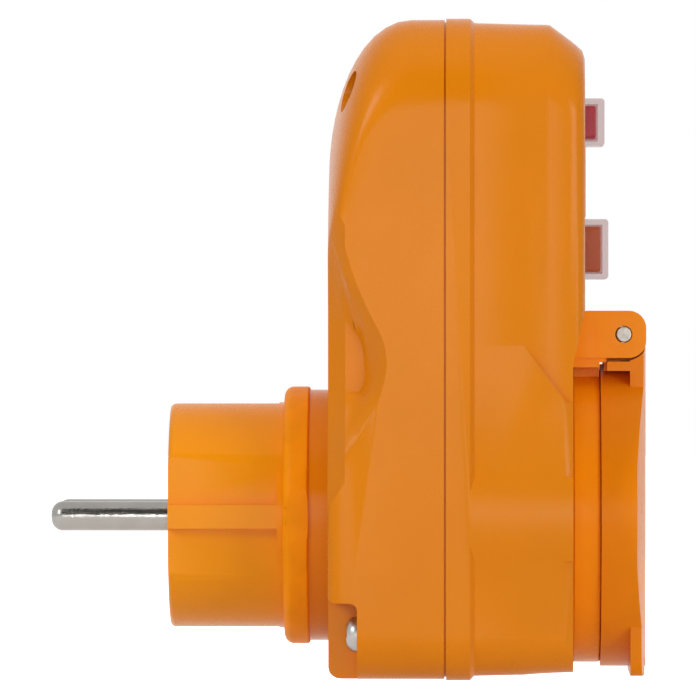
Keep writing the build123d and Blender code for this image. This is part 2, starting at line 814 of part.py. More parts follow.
def plug_retainer():
    """Plate that clamps the plug body into the rear housing."""
    plate = rod(retainer_x, retainer_thickness, retainer_radius)
    half = earth_strip_width / 2 + seat_gap
    reach = earth_strip_offset + seat_gap
    depth = strap_bridge_x + earth_strip_thickness + seat_gap
    plate -= block((retainer_x - cut_over, -half, -reach), (depth, half, reach))
    for y in (pin_y, -pin_y):
        plate -= rod(retainer_x - cut_over, retainer_thickness + 2 * cut_over,
                     pin_tail_radius + seat_gap, y)
    rail = earth_strip_thickness / 2 + seat_gap
    plate -= block((retainer_x - cut_over, -half, -rail),
                   (retainer_x + retainer_thickness + cut_over, half, rail))
    return plate - retainer_screw_places(retainer_x - cut_over, retainer_thickness + 2 * cut_over,
                                         retainer_screw_radius + seat_gap)


def retainer_screws():
    """Four small screws through the retainer."""
    seat = retainer_x + retainer_thickness
    length = retainer_thickness + retainer_screw_depth
    heads = retainer_screw_places(seat, retainer_screw_radius, retainer_screw_head)
    return heads + retainer_screw_places(seat - length, length + retainer_screw_radius / 2,
                                         retainer_screw_radius)


def earth_rail():
    """Flat bar from the plug's earth strap to the outlet's earth clip."""
    start = strap_bridge_x + earth_strip_thickness
    end = carrier_x - seat_gap - earth_clip_thickness
    half = earth_strip_thickness / 2
    return block((start, -earth_strip_width / 2, -half), (end, earth_strip_width / 2, half))


def hinge_rod(y, length, radius):
    """Cylinder about the hinge axis, from y towards +Y."""
    plane = Plane(origin=(hinge_x, y, hinge_height), x_dir=(1, 0, 0), z_dir=(0, 1, 0))
    return extrude(plane * Circle(radius), length)


def hinge_pair(inner, outer, radius):
    """Two cylinders about the hinge axis, one at each side."""
    return both_sides(hinge_rod(inner, outer - inner, radius))


def outlet_frame():
    """Collar of the outlet with its spigot, snap lugs, hinge block and ears."""
    frame = rod(collar_x, rim_x - collar_x, outlet_collar_radius)
    edge = frame.edges().filter_by(GeomType.CIRCLE).sort_by(Axis.X)[-1]
    frame = fillet(edge, outlet_rim_thickness / 3)
    frame += rod(collar_x - outlet_spigot_depth, outlet_spigot_depth + cut_over,
                 outlet_spigot_radius)
    frame += snap_lugs()
    ear_low = hinge_height - ear_radius
    ear_high = hinge_height + ear_radius
    frame += block((lower_x, -hinge_block_half_width, ear_low - ledge_thickness),
                   (lower_x + hinge_block_depth, hinge_block_half_width, ear_high))
    inner = outlet_collar_radius - outlet_rim_thickness
    root = sqrt(inner**2 - hinge_root_half_width**2)
    frame += block((collar_x, -hinge_root_half_width, root),
                   (lower_x + hinge_block_depth, hinge_root_half_width, ear_low))
    ear = block((lower_x, ear_inner, ear_low), (hinge_x + ear_reach, ear_outer, ear_high))
    ear = fillet(ear.edges().filter_by(Axis.Y).sort_by(Axis.X)[-2:], ear_corner_radius)
    ear += block((lower_x, ear_inner, lid_radius + slide_gap),
                 (plate_x - ledge_run - seat_gap, hinge_block_half_width, ear_low + seat_gap))
    frame += both_sides(ear)
    cup = outlet_cup_radius + seat_gap
    frame -= rod(collar_x - outlet_spigot_depth - cut_over,
                 outlet_spigot_depth + rim_x - collar_x - outlet_rim_thickness + cut_over, cup)
    frame -= rod(collar_x, rim_x - collar_x + cut_over, outlet_bore_radius)
    return frame - hinge_pair(ear_inner - cut_over, ear_outer + cut_over,
                              hinge_pin_radius + hinge_hole_gap)


def snap_lugs():
    """Lugs on the spigot that catch behind the front wall."""
    start = lower_inner_x - seat_gap - snap_lug_depth
    points = [(start, 0), (start + snap_lug_depth, 0)]
    points += [(start + snap_lug_depth, outlet_spigot_radius + snap_lug_height)]
    points += [(start + snap_lug_depth / 2, outlet_spigot_radius + snap_lug_height)]
    points += [(start, outlet_spigot_radius)]
    plane = Plane(origin=(0, snap_lug_width / 2, 0), x_dir=(1, 0, 0), z_dir=(0, -1, 0))
    lug = extrude(plane * make_face(Polyline(*points, close=True)), snap_lug_width)
    step = 360 / snap_lug_count
    lugs = [lug.rotate(Axis.X, step * (i + 1 / 2)) for i in range(snap_lug_count)]
    return lugs[0] + lugs[1:]


def frame_seal():
    """Flat seal under the outlet collar."""
    return ring(lower_x, frame_seal_thickness, outlet_collar_radius - slide_gap,
                outlet_spigot_radius + seat_gap)


def outlet_insert():
    """Well of the outlet with its floor, pin holes, guide ribs and slots for the earth clip."""
    rim = rim_x - outlet_rim_thickness - seat_gap / 2
    cup = rod(floor_back_x, rim - floor_back_x, outlet_cup_radius)
    cup -= rod(floor_x, rim - floor_x + cut_over, well_radius)
    half = guide_rib_width / 2
    rib_end = rim - guide_rib_width / 2
    rib = block((floor_x - cut_over, guide_rib_offset, -half), (rib_end, well_radius + seat_gap, half))
    cup += both_sides(rib)
    for y in (pin_y, -pin_y):
        cup -= rod(floor_back_x - cut_over, well_floor + 2 * cut_over, outlet_hole_radius, y)
    slot_half = earth_clip_width / 2 + seat_gap
    low = earth_clip_outer() - earth_clip_thickness - seat_gap
    slot = block((floor_back_x - cut_over, -slot_half, low),
                 (floor_x + cut_over, slot_half, earth_clip_outer() + seat_gap))
    return cup - slot - slot.mirror(Plane.XY)


def earth_clip_outer():
    """Distance of the earth clip's arms from the axis."""
    half = earth_clip_width / 2 + seat_gap
    return sqrt(well_radius**2 - half**2) - 2 * seat_gap


def outlet_earth_clip():
    """Sprung earth clip: a strap behind the well with an arm along its top and bottom."""
    outer = earth_clip_outer()
    inner = outer - earth_clip_thickness
    start = carrier_x - seat_gap / 2 - earth_clip_thickness
    bend = floor_x + earth_clip_length / 4
    crown = floor_x + earth_clip_length * 2 / 3
    tip = floor_x + earth_clip_length
    lift = (earth_clip_grip + inner) / 2
    points = [(start, 0), (start + earth_clip_thickness, 0), (start + earth_clip_thickness, inner)]
    points += [(bend, inner), (crown, earth_clip_grip), (tip, lift)]
    points += [(tip, lift + earth_clip_thickness), (crown, earth_clip_grip + earth_clip_thickness)]
    points += [(bend, outer), (start, outer)]
    arm = side_plate(points, earth_clip_width / 2)
    return arm + arm.mirror(Plane.XY)


def outlet_contact(y):
    """Slotted sleeve that grips a plug pin, open at both ends."""
    start = carrier_x - seat_gap - sleeve_length
    outer = sleeve_inner_radius + sleeve_wall
    sleeve = rod(start, sleeve_length, outer, y)
    sleeve -= rod(start - cut_over, sleeve_length + 2 * cut_over, sleeve_inner_radius, y)
    half = sleeve_slit / 2
    slit = block((start + sleeve_length / 3, y - half, -outer - cut_over),
                 (carrier_x + cut_over, y + half, 0))
    return sleeve - slit


def contact_carrier():
    """Moulded block behind the well that holds both sleeves."""
    plane = Plane(origin=(carrier_x - carrier_depth, 0, 0), x_dir=(0, 1, 0), z_dir=(1, 0, 0))
    face = RectangleRounded(2 * carrier_half_width, 2 * carrier_half_height, carrier_corner_radius)
    carrier = extrude(plane * face, carrier_depth)
    outer = sleeve_inner_radius + sleeve_wall + seat_gap
    start = carrier_x - 2 * seat_gap - sleeve_length
    lead_x = load_lead_x()
    for y in (pin_y, -pin_y):
        carrier -= rod(start, sleeve_length + 2 * seat_gap + cut_over, outer, y)
        carrier -= rod(carrier_x - carrier_depth - cut_over, carrier_depth, sleeve_inner_radius, y)
        way = Plane(origin=(lead_x, y, 0), z_dir=(0, 0, 1)) * Circle(conductor_radius + slide_gap)
        carrier -= extrude(way, carrier_half_height + cut_over)
    half = earth_clip_width / 2 + seat_gap
    channel = carrier_x - seat_gap - earth_clip_thickness - seat_gap
    carrier -= block((channel, -half, -carrier_half_height - cut_over),
                     (carrier_x + cut_over, half, carrier_half_height + cut_over))
    rail = earth_strip_thickness / 2 + seat_gap
    return carrier - block((carrier_x - carrier_depth - cut_over, -half, -rail),
                           (carrier_x, half, rail))


def lid():
    """Hinged lid: crowned plate, round band, gasket rib, thumb tab, ledge and knuckles."""
    plate = rod(plate_x, lid_plate, lid_radius)
    tab = block((plate_x, -tab_half_width, tab_bottom),
                (plate_x + tab_thickness, tab_half_width, tab_top))
    tab = fillet(tab.edges().filter_by(Axis.X).sort_by(Axis.Z)[:2], tab_corner_radius)
    arm_half = ear_inner - slide_gap
    tongue = block((plate_x, -ledge_half_width, 0),
                   (lid_front_x, ledge_half_width, hinge_height - ear_radius / 2))
    crown = Pos(lid_front_x - lid_crown_radius, 0, tab_bottom - cut_over)
    crown *= Cylinder(lid_crown_radius, 2 * (hinge_height - tab_bottom),
                      align=(Align.CENTER, Align.CENTER, Align.MIN))
    solid = (plate + tab + tongue) & crown
    band = rod(band_x, lid_band_depth + cut_over, lid_radius)
    solid += band - rod(band_x - cut_over, lid_band_depth + cut_over, lid_radius - lid_band_wall)
    rib_radius = lid_radius - lid_band_wall - 2 * seat_gap - gasket_width
    solid += ring(plate_x - lid_inner_rib_depth, lid_inner_rib_depth + cut_over, rib_radius,
                  rib_radius - lid_inner_rib)
    ledge_top = hinge_height - ledge_drop
    solid += block((plate_x - ledge_run, -ledge_half_width, ledge_top - ledge_thickness),
                   (plate_x + cut_over, ledge_half_width, ledge_top))
    knuckles = hinge_rod(knuckle_inner, arm_half - knuckle_inner, knuckle_radius)
    knuckles += block((hinge_x - knuckle_radius, knuckle_inner, ledge_top - ledge_thickness),
                      (hinge_x + knuckle_radius, arm_half, hinge_height))
    solid += both_sides(knuckles)
    solid -= hinge_pair(arm_half, ear_outer + cut_over, ear_radius + swing_gap)
    middle = spring_radius + spring_wire + slide_gap
    solid -= hinge_rod(-knuckle_inner, 2 * knuckle_inner, middle)
    return solid - hinge_pair(0, ear_inner, hinge_pin_radius + hinge_run_gap)


def lid_gasket():
    """Soft ring inside the lid that meets the collar's rim."""
    outer = lid_radius - lid_band_wall - seat_gap
    return ring(rim_x + seat_gap, gasket_depth, outer, outer - gasket_width)


def hinge_pin():
    """Steel pin through the ears and the lid's knuckles, with chamfered ends."""
    reach = ear_outer + hinge_pin_overhang
    pin = hinge_rod(-reach, 2 * reach, hinge_pin_radius)
    return chamfer(pin.edges().filter_by(GeomType.CIRCLE), hinge_pin_overhang)


def spring_leg(start, direction, length):
    """Straight end of the hinge spring's wire."""
    return extrude(Plane(origin=start, z_dir=direction) * Circle(spring_wire / 2), length)


def hinge_spring():
    """Close wound torsion spring between the knuckles."""
    length = 2 * (knuckle_inner - slide_gap)
    collar = 3 * spring_wire / 2
    pitch = (length - 2 * collar) / hinge_spring_turns
    inner = spring_radius - spring_wire / 2
    outer = spring_radius + spring_wire / 2
    points = [(inner, 0), (inner, length), (outer, length), (outer, length - collar)]
    for i in range(hinge_spring_turns):
        top = length - collar - pitch * i
        points += [(outer - spring_wire / 4, top - pitch / 2), (outer, top - pitch)]
    points.append((outer, 0))
    plane = Plane(origin=(hinge_x, -length / 2, hinge_height), x_dir=(1, 0, 0), z_dir=(0, 0, 1))
    axis = Axis((hinge_x, 0, hinge_height), (0, 1, 0))
    spring = revolve(plane * make_face(Polyline(*points, close=True)), axis=axis)
    end = length / 2 - collar / 2
    reach = spring_radius - spring_wire / 4
    back = hinge_reach - hinge_block_depth - seat_gap
    spring += spring_leg((hinge_x, end, hinge_height + reach), (-1, 0, 0), back)
    down = spring_radius - spring_wire
    return spring + spring_leg((hinge_x + reach, -end, hinge_height), (0, 0, -1), down)


def load_lead_x():
    """Where the load leads run behind the circuit board."""
    return board_x - board_offset - slide_gap


def circuit_board():
    """Circuit board with a narrow neck at the top and holes for the conductors."""
    neck = board_neck_half_width
    low = (board_x, -board_half_width, board_bottom)
    board = block(low, (board_front_x, board_half_width, board_neck_bottom))
    board += block((board_x, -neck, board_bottom), (board_front_x, neck, board_top))
    upright = board.edges().filter_by(Axis.X)
    board = chamfer(upright.sort_by(Axis.Z)[-2:], board_thickness)
    half = conductor_spacing + conductor_radius + slide_gap
    hole = conductor_radius + slide_gap
    board -= block((board_x - cut_over, -half, core_centre_z - hole),
                   (board_front_x + cut_over, half, core_centre_z + hole))
    return board


def transformer_core():
    """Toroidal core of the sensing transformer."""
    return ring_at(core_rear_x, core_depth, core_outer_radius, core_inner_radius, core_centre_z)


def ring_at(x, depth, outer, inner, z):
    """Ring along X whose centre stands at a height z."""
    return rod(x, depth, outer, 0, z) - rod(x - cut_over, depth + 2 * cut_over, inner, 0, z)


def transformer_winding():
    """Winding round the core, kept as its outer form."""
    build = winding_build
    form = ring_at(core_rear_x - build, core_depth + 2 * build, core_outer_radius + build,
                   core_inner_radius - build, core_centre_z)
    edges = form.edges().filter_by(GeomType.CIRCLE)
    form = fillet(edges, build)
    gap = seat_gap / 2
    return form - ring_at(core_rear_x - gap, core_depth + 2 * gap, core_outer_radius + gap,
                          core_inner_radius - gap, core_centre_z)


def wire(points):
    """Round conductor through a list of corner points, with bent corners."""
    path = FilletPolyline(*points, radius=conductor_bend)
    section = Plane(origin=path @ 0, z_dir=path % 0) * Circle(conductor_radius)
    return sweep(section, path=path)


def line_conductor(side):
    """Conductor from a plug pin through the transformer to its line contact."""
    rear = pin_tail_end + seat_gap / 2 + conductor_radius
    front = board_front_x + seat_gap + contact_plate + seat_gap + conductor_radius
    near = side * conductor_spacing
    far = side * pin_y
    z = core_centre_z
    start = -pin_tail_radius
    low = z - core_outer_radius - winding_build - 2 * conductor_bend
    points = [(rear, far, start), (rear, far, low), (rear, near, z - 2 * conductor_bend)]
    points += [(rear, near, z), (front, near, z), (front, side * (contact_y - contact_radius), z)]
    return wire(points)


def load_conductor(side):
    """Conductor from a load contact round the board to an outlet sleeve."""
    front = board_front_x + seat_gap + contact_plate + seat_gap + conductor_radius
    back = load_lead_x()
    out = side * (contact_y + contact_radius + 2 * conductor_bend + slide_gap)
    top = contact_centre_z + contact_pitch / 2
    low = board_bottom - conductor_radius - slide_gap - conductor_bend
    sleeve_top = sleeve_inner_radius + sleeve_wall + seat_gap / 2
    near = side * pin_y
    points = [(front, side * (contact_y + contact_radius + slide_gap), top), (front, out, top)]
    points += [(front, out, low), (back, out, low)]
    points += [(back, near, carrier_half_height + 2 * conductor_bend), (back, near, sleeve_top)]
    return wire(points)


def fixed_contact(side, z):
    """Plate with a rounded contact on the circuit board."""
    half = contact_plate_width / 2
    start = board_front_x + seat_gap
    y = side * contact_y
    plate = block((start, y - half, z - half), (start + contact_plate, y + half, z + half))
    rivet = rod(start, contact_plate + contact_height, contact_radius, y, z)
    edge = rivet.edges().filter_by(GeomType.CIRCLE).sort_by(Axis.X)[-1]
    return plate + chamfer(edge, contact_radius / 4)


def contact_bridge(side):
    """Moving bridge that joins a line contact to its load contact."""
    half = bridge_width / 2
    reach = contact_pitch / 2 + contact_radius + seat_gap
    low = (bridge_x, side * contact_y - half, contact_centre_z - reach)
    high = (bridge_x + bridge_thickness, side * contact_y + half, contact_centre_z + reach)
    return block(low, high)


def contact_carriage():
    """Moulded bar that carries both bridges and is pushed by the reset button."""
    half = carriage_height / 2
    z = contact_centre_z
    low = (carriage_x, -carriage_half_length, z - half)
    bar = block(low, (carriage_front_x, carriage_half_length, z + half))
    bar = fillet(bar.edges().filter_by(Axis.X), carriage_height / 6)
    bar += rod(carriage_x, carriage_depth + slide_gap, carriage_boss_radius, 0, z)
    pocket = button_spring_radius + guide_gap
    return bar - rod(carriage_x - cut_over, carriage_depth / 3 + cut_over, pocket, 0, z)


def button_box(start, end, z, height, width, radius):
    """Round edged box along X, about a button's axis."""
    plane = Plane(origin=(start, 0, z), x_dir=(0, 1, 0), z_dir=(1, 0, 0))
    return extrude(plane * RectangleRounded(width, height, radius), end - start)


def button(z, height, width, rise):
    """Button body with its flange behind the guide."""
    body = button_box(flange_x, front_x + rise, z, height, width, button_edge_radius)
    top = body.faces().sort_by(Axis.X)[-1]
    body = fillet(top.edges(), button_edge_radius * 2 / 3)
    flange = button_box(flange_x - button_flange_thickness, flange_x, z, height + 2 * button_flange,
                        width + 2 * button_flange, button_edge_radius)
    return body + flange


def test_button():
    """Test button with the stem that closes the test contact."""
    body = button(test_centre_z, test_height, test_width, test_rise)
    stem_end = contact_face_x + test_travel + seat_gap
    length = flange_x - button_flange_thickness - stem_end
    return body + rod(stem_end, length, test_stem_radius, 0, test_centre_z)


def reset_button():
    """Reset button, which pushes the contact carriage."""
    return button(reset_centre_z, reset_height, reset_width, reset_rise)


def button_cover(z, height, width, rise, cover_rise):
    """Soft see-through cover over one button, held by a flange behind the panel."""
    inner_h = height + 2 * cover_gap
    inner_w = width + 2 * cover_gap
    outer_h = inner_h + 2 * cover_wall
    outer_w = inner_w + 2 * cover_wall
    end = front_x + cover_rise
    cover = button_box(guide_front_x, end, z, outer_h, outer_w, cover_edge_radius)
    cover = fillet(cover.faces().sort_by(Axis.X)[-1].edges(), cover_edge_radius * 2 / 3)
    flange_start = guide_front_x + seat_gap / 2
    cover += button_box(flange_start, flange_start + cover_flange_thickness, z,
                        outer_h + 2 * cover_flange, outer_w + 2 * cover_flange, cover_edge_radius)
    return cover - button_box(guide_front_x - cut_over, front_x + rise + cover_gap, z, inner_h,
                              inner_w, button_edge_radius)


def test_cover():
    """Cover over the test button."""
    return button_cover(test_centre_z, test_height, test_width, test_rise, test_cover_rise)


def reset_cover():
    """Cover over the reset button."""
    return button_cover(reset_centre_z, reset_height, reset_width, reset_rise, reset_cover_rise)


def button_guide():
    """Guide plate for both buttons, standing on four legs on the circuit board."""
    flange = cover_gap + cover_wall + cover_flange
    low = reset_centre_z - reset_height / 2 - flange
    high = test_centre_z + test_height / 2 + flange
    centre = (low + high) / 2
    plate = button_box(guide_rear_x, guide_front_x, centre, high - low, 2 * guide_half_width,
                       guide_corner_radius)
    legs = []
    for z in (guide_low_leg_z(), high - guide_leg_radius):
        legs.append(both_sides(rod(board_front_x, guide_rear_x - board_front_x, guide_leg_radius,
                                   guide_leg_y, z)))
    plate += legs
    for height, width, z, rise, cover_rise in button_sizes():
        plate -= button_box(guide_rear_x - cut_over, guide_front_x + cut_over, z,
                            height + 2 * guide_gap, width + 2 * guide_gap, button_edge_radius)
    return plate


def guide_low_leg_z():
    """Height of the lower legs, just above the contact carriage."""
    return contact_centre_z + carriage_height / 2 + guide_leg_radius + 2 * slide_gap + cut_over


def compression_spring(z, start, end):
    """Coil spring along X between two faces."""
    wire_size = button_spring_wire
    length = end - start - wire_size - 2 * seat_gap
    path = Helix(length / button_spring_turns, length, button_spring_radius - wire_size / 2)
    section = Plane(origin=path @ 0, z_dir=path % 0) * Circle(wire_size / 2)
    spring = sweep(section, path=path, is_frenet=True).rotate(Axis.Y, 90)
    return Pos(start + seat_gap + wire_size / 2, 0, z) * spring


def test_spring():
    """Return spring of the test button, round its stem."""
    return compression_spring(test_centre_z, board_front_x, flange_x - button_flange_thickness)


def reset_spring():
    """Return spring of the contact carriage and reset button."""
    return compression_spring(reset_centre_z, board_front_x, carriage_x + carriage_depth / 3)


def test_contact():
    """Contact post under the test button's stem."""
    foot = rod(board_front_x + seat_gap, contact_plate, contact_radius, 0, test_centre_z)
    return foot + rod(board_front_x + seat_gap, contact_plate + contact_height,
                      contact_radius * 2 / 3, 0, test_centre_z)


def relay_coil():
    """Coil of the trip relay on its core."""
    return ring_yz(relay_front_x() + seat_gap / 2, relay_coil_depth - seat_gap, relay_coil_radius,
                   relay_core_radius + seat_gap / 2, relay_y, relay_z)


def ring_yz(x, depth, outer, inner, y, z):
    """Ring along X about an axis at y and z."""
    return rod(x, depth, outer, y, z) - rod(x - cut_over, depth + 2 * cut_over, inner, y, z)


def relay_front_x():
    """Front face of the relay's base plate."""
    return board_front_x + seat_gap + relay_plate


def relay_yoke():
    """Yoke of the trip relay: base plate, side limb and core."""
    start = board_front_x + seat_gap
    end = relay_front_x() + relay_coil_depth
    low, high = relay_z - relay_half_height, relay_z + relay_half_height
    limb = relay_y - relay_limb_offset
    plate = block((start, limb - relay_plate, low), (relay_front_x(), relay_y + relay_coil_radius, high))
    plate += block((start, limb - relay_plate, low), (end, limb, high))
    return plate + rod(start, end - start, relay_core_radius, relay_y, relay_z)


def relay_armature():
    """Armature of the trip relay, pivoted at the limb."""
    start = relay_front_x() + relay_coil_depth + armature_gap
    half = relay_half_height - armature_gap
    limb = relay_y - relay_limb_offset
    low = (start, limb - relay_plate, relay_z - half)
    return block(low, (start + armature_thickness, relay_y + relay_coil_radius, relay_z + half))


def varistor():
    """Disc of the surge protector, standing on the board."""
    start = contact_y - varistor_thickness / 2
    x = board_front_x + seat_gap + varistor_radius
    z = board_neck_bottom - varistor_radius / 2
    plane = Plane(origin=(x, start, z), x_dir=(1, 0, 0), z_dir=(0, 1, 0))
    disc = extrude(plane * Circle(varistor_radius), varistor_thickness)
    return fillet(disc.edges().filter_by(GeomType.CIRCLE), varistor_thickness / 4)


def test_resistor():
    """Resistor in the test circuit."""
    x = board_front_x + seat_gap + resistor_radius
    z = contact_plate_top + resistor_radius + slide_gap
    plane = Plane(origin=(x, contact_y - contact_radius, z), x_dir=(1, 0, 0), z_dir=(0, 1, 0))
    body = extrude(plane * Circle(resistor_radius), resistor_length)
    return fillet(body.edges().filter_by(GeomType.CIRCLE), resistor_radius / 3)


def capacitor():
    """Film capacitor behind the board."""
    side = board_post_y - board_post_radius - slide_gap
    z = core_centre_z + core_outer_radius + winding_build + slide_gap
    low = (board_x - seat_gap - capacitor_depth, side - capacitor_size, z)
    return block(low, (board_x - seat_gap, side, z + capacitor_size))


def trip_chip():
    """Control chip behind the board."""
    side = board_post_y - board_post_radius - slide_gap
    z = core_centre_z + core_outer_radius + winding_build + slide_gap
    low = (board_x - seat_gap - chip_thickness, -side, z)
    return block(low, (board_x - seat_gap, chip_width - side, z + chip_length))


line_z = contact_centre_z - contact_pitch / 2
load_z = contact_centre_z + contact_pitch / 2
parts = {
    "rear_housing": rear_housing(),
    "front_housing": front_housing(),
    "housing_seal": housing_seal(),
    "housing_screws": housing_screws(),
    "plug_body": plug_body(),
    "plug_pin_left": plug_pin(-pin_y),
    "plug_pin_right": plug_pin(pin_y),
    "plug_earth_strap": plug_earth_strap(),
    "plug_seal_ring": plug_seal_ring(),
    "plug_retainer": plug_retainer(),
    "retainer_screws": retainer_screws(),
    "earth_rail": earth_rail(),
    "outlet_frame": outlet_frame(),
    "frame_seal": frame_seal(),
    "outlet_insert": outlet_insert(),
    "outlet_earth_clip": outlet_earth_clip(),
    "outlet_contact_left": outlet_contact(-pin_y),
    "outlet_contact_right": outlet_contact(pin_y),
    "contact_carrier": contact_carrier(),
    "lid": lid(),
    "lid_gasket": lid_gasket(),
    "hinge_pin": hinge_pin(),
    "hinge_spring": hinge_spring(),
    "circuit_board": circuit_board(),
    "transformer_core": transformer_core(),
    "transformer_winding": transformer_winding(),
    "line_conductor_left": line_conductor(-1),
    "line_conductor_right": line_conductor(1),
    "load_conductor_left": load_conductor(-1),
    "load_conductor_right": load_conductor(1),
    "line_contact_left": fixed_contact(-1, line_z),
    "line_contact_right": fixed_contact(1, line_z),
    "load_contact_left": fixed_contact(-1, load_z),
    "load_contact_right": fixed_contact(1, load_z),
    "contact_bridge_left": contact_bridge(-1),
    "contact_bridge_right": contact_bridge(1),
    "contact_carriage": contact_carriage(),
    "test_button": test_button(),
    "reset_button": reset_button(),
    "test_cover": test_cover(),
    "reset_cover": reset_cover(),
    "button_guide": button_guide(),
    "test_spring": test_spring(),
    "reset_spring": reset_spring(),
    "test_contact": test_contact(),
    "relay_coil": relay_coil(),
    "relay_yoke": relay_yoke(),
    "relay_armature": relay_armature(),
    "varistor": varistor(),
    "test_resistor": test_resistor(),
    "capacitor": capacitor(),
    "trip_chip": trip_chip(),
}
for name, solid in parts.items():
    export_step(solid, f"parts/{name}.step")
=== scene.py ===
"""Looks of a residual current adapter plug: finishes, wound pieces, springs, studio and camera."""

import json
import math

import bmesh
import bpy
from bpy.props import FloatProperty, FloatVectorProperty, IntProperty, PointerProperty
from mathutils import Matrix, Vector


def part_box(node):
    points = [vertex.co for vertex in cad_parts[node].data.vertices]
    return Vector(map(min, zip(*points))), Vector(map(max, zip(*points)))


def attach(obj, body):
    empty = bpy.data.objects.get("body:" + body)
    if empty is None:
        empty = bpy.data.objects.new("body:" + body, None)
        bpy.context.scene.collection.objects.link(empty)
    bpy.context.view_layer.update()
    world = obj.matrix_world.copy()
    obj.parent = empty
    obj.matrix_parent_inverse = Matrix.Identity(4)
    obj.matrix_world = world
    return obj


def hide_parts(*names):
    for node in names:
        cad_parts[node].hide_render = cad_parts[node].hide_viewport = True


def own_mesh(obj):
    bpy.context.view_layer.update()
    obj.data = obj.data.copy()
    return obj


bl_info = {
    "name": "Residual Current Adapter Plug",
    "version": (1, 0, 0),
    "blender": (4, 5, 0),
    "location": "View3D > Sidebar > Adapter",
    "description": "Builds the finishes and fine pieces of a residual current adapter plug",
    "category": "Object",
}

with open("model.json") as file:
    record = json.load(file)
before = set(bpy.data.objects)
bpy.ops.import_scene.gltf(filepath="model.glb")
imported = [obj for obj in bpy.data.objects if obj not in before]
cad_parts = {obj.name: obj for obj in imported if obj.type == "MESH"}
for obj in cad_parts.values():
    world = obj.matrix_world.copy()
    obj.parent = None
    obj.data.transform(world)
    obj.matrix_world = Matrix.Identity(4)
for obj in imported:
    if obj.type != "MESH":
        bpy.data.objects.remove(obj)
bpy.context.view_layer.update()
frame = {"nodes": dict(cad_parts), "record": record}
BODY_OF = {node: body for body, nodes in frame["record"]["behaviour"]["bodies"].items()
           for node in nodes}
SLOT_OF = {row["node"]: row["material_slot"] for row in frame["record"]["subparts"]}
FINISHES = {}
CREASE_ANGLE = 38.0
METAL_EDGE = 0.00008
BUTTON_EDGE = 0.00012
TEST_TRAVEL = 0.0015
RESET_TRAVEL = 0.0020


def colour_property(name, about, value):
    """A colour setting."""
    return FloatVectorProperty(name=name, description=about, subtype="COLOR", size=3,
                               default=value, min=0.0, max=1.0)


def length_property(name, about, value):
    """A length setting, in metres."""
    return FloatProperty(name=name, description=about, subtype="DISTANCE", unit="LENGTH",
                         default=value, min=0.0, precision=5)


class AdapterColours(bpy.types.PropertyGroup):
    """Colours of the adapter."""

    orange: colour_property("Orange", "Moulded body of the adapter", (0.73, 0.214, 0.003))
    plug_orange: colour_property("Plug orange", "Grained plug body", (0.87, 0.292, 0.004))
    outlet_orange: colour_property("Outlet orange", "Smooth collar", (0.96, 0.300, 0.003))
    lid_orange: colour_property("Lid orange", "Satin lid", (0.85, 0.242, 0.003))
    ring_orange: colour_property("Ring orange", "Seal ring round the plug", (0.94, 0.292, 0.002))
    test_red: colour_property("Test red", "Test button", (0.98, 0.030, 0.180))
    reset_red: colour_property("Reset red", "Reset button", (1.00, 0.260, 0.006))
    cover_tint: colour_property("Cover tint", "Soft covers over the buttons", (0.39, 0.08, 0.06))
    nickel: colour_property("Nickel", "Plug pins", (0.34, 0.325, 0.30))
    steel: colour_property("Steel", "Screws and hinge pin", (0.42, 0.41, 0.40))


class AdapterSizes(bpy.types.PropertyGroup):
    """Sizes of the fine pieces."""

    edge_round: length_property("Edge rounding", "Rounding of the moulded edges", 0.00030)
    grain_size: length_property("Grain size", "Size of the moulded grain", 0.00033)
    grain_depth: length_property("Grain depth", "Depth of the moulded grain", 0.000012)
    winding_wire: length_property("Winding wire", "Thickness of the transformer's wire", 0.00062)
    winding_turns: IntProperty(name="Winding turns", description="Turns on the transformer",
                               default=64, min=8, max=120)
    relay_wire: length_property("Relay wire", "Thickness of the relay's wire", 0.00030)
    spring_wire: length_property("Spring wire", "Thickness of the button springs' wire", 0.0005)
    hinge_wire: length_property("Hinge wire", "Thickness of the hinge spring's wire", 0.00055)
    hinge_turns: IntProperty(name="Hinge turns", description="Turns of the hinge spring",
                             default=14, min=4, max=20)


def colours():
    """The scene's colour settings."""
    return bpy.context.scene.adapter_colours


def sizes():
    """The scene's size settings."""
    return bpy.context.scene.adapter_sizes


# Materials


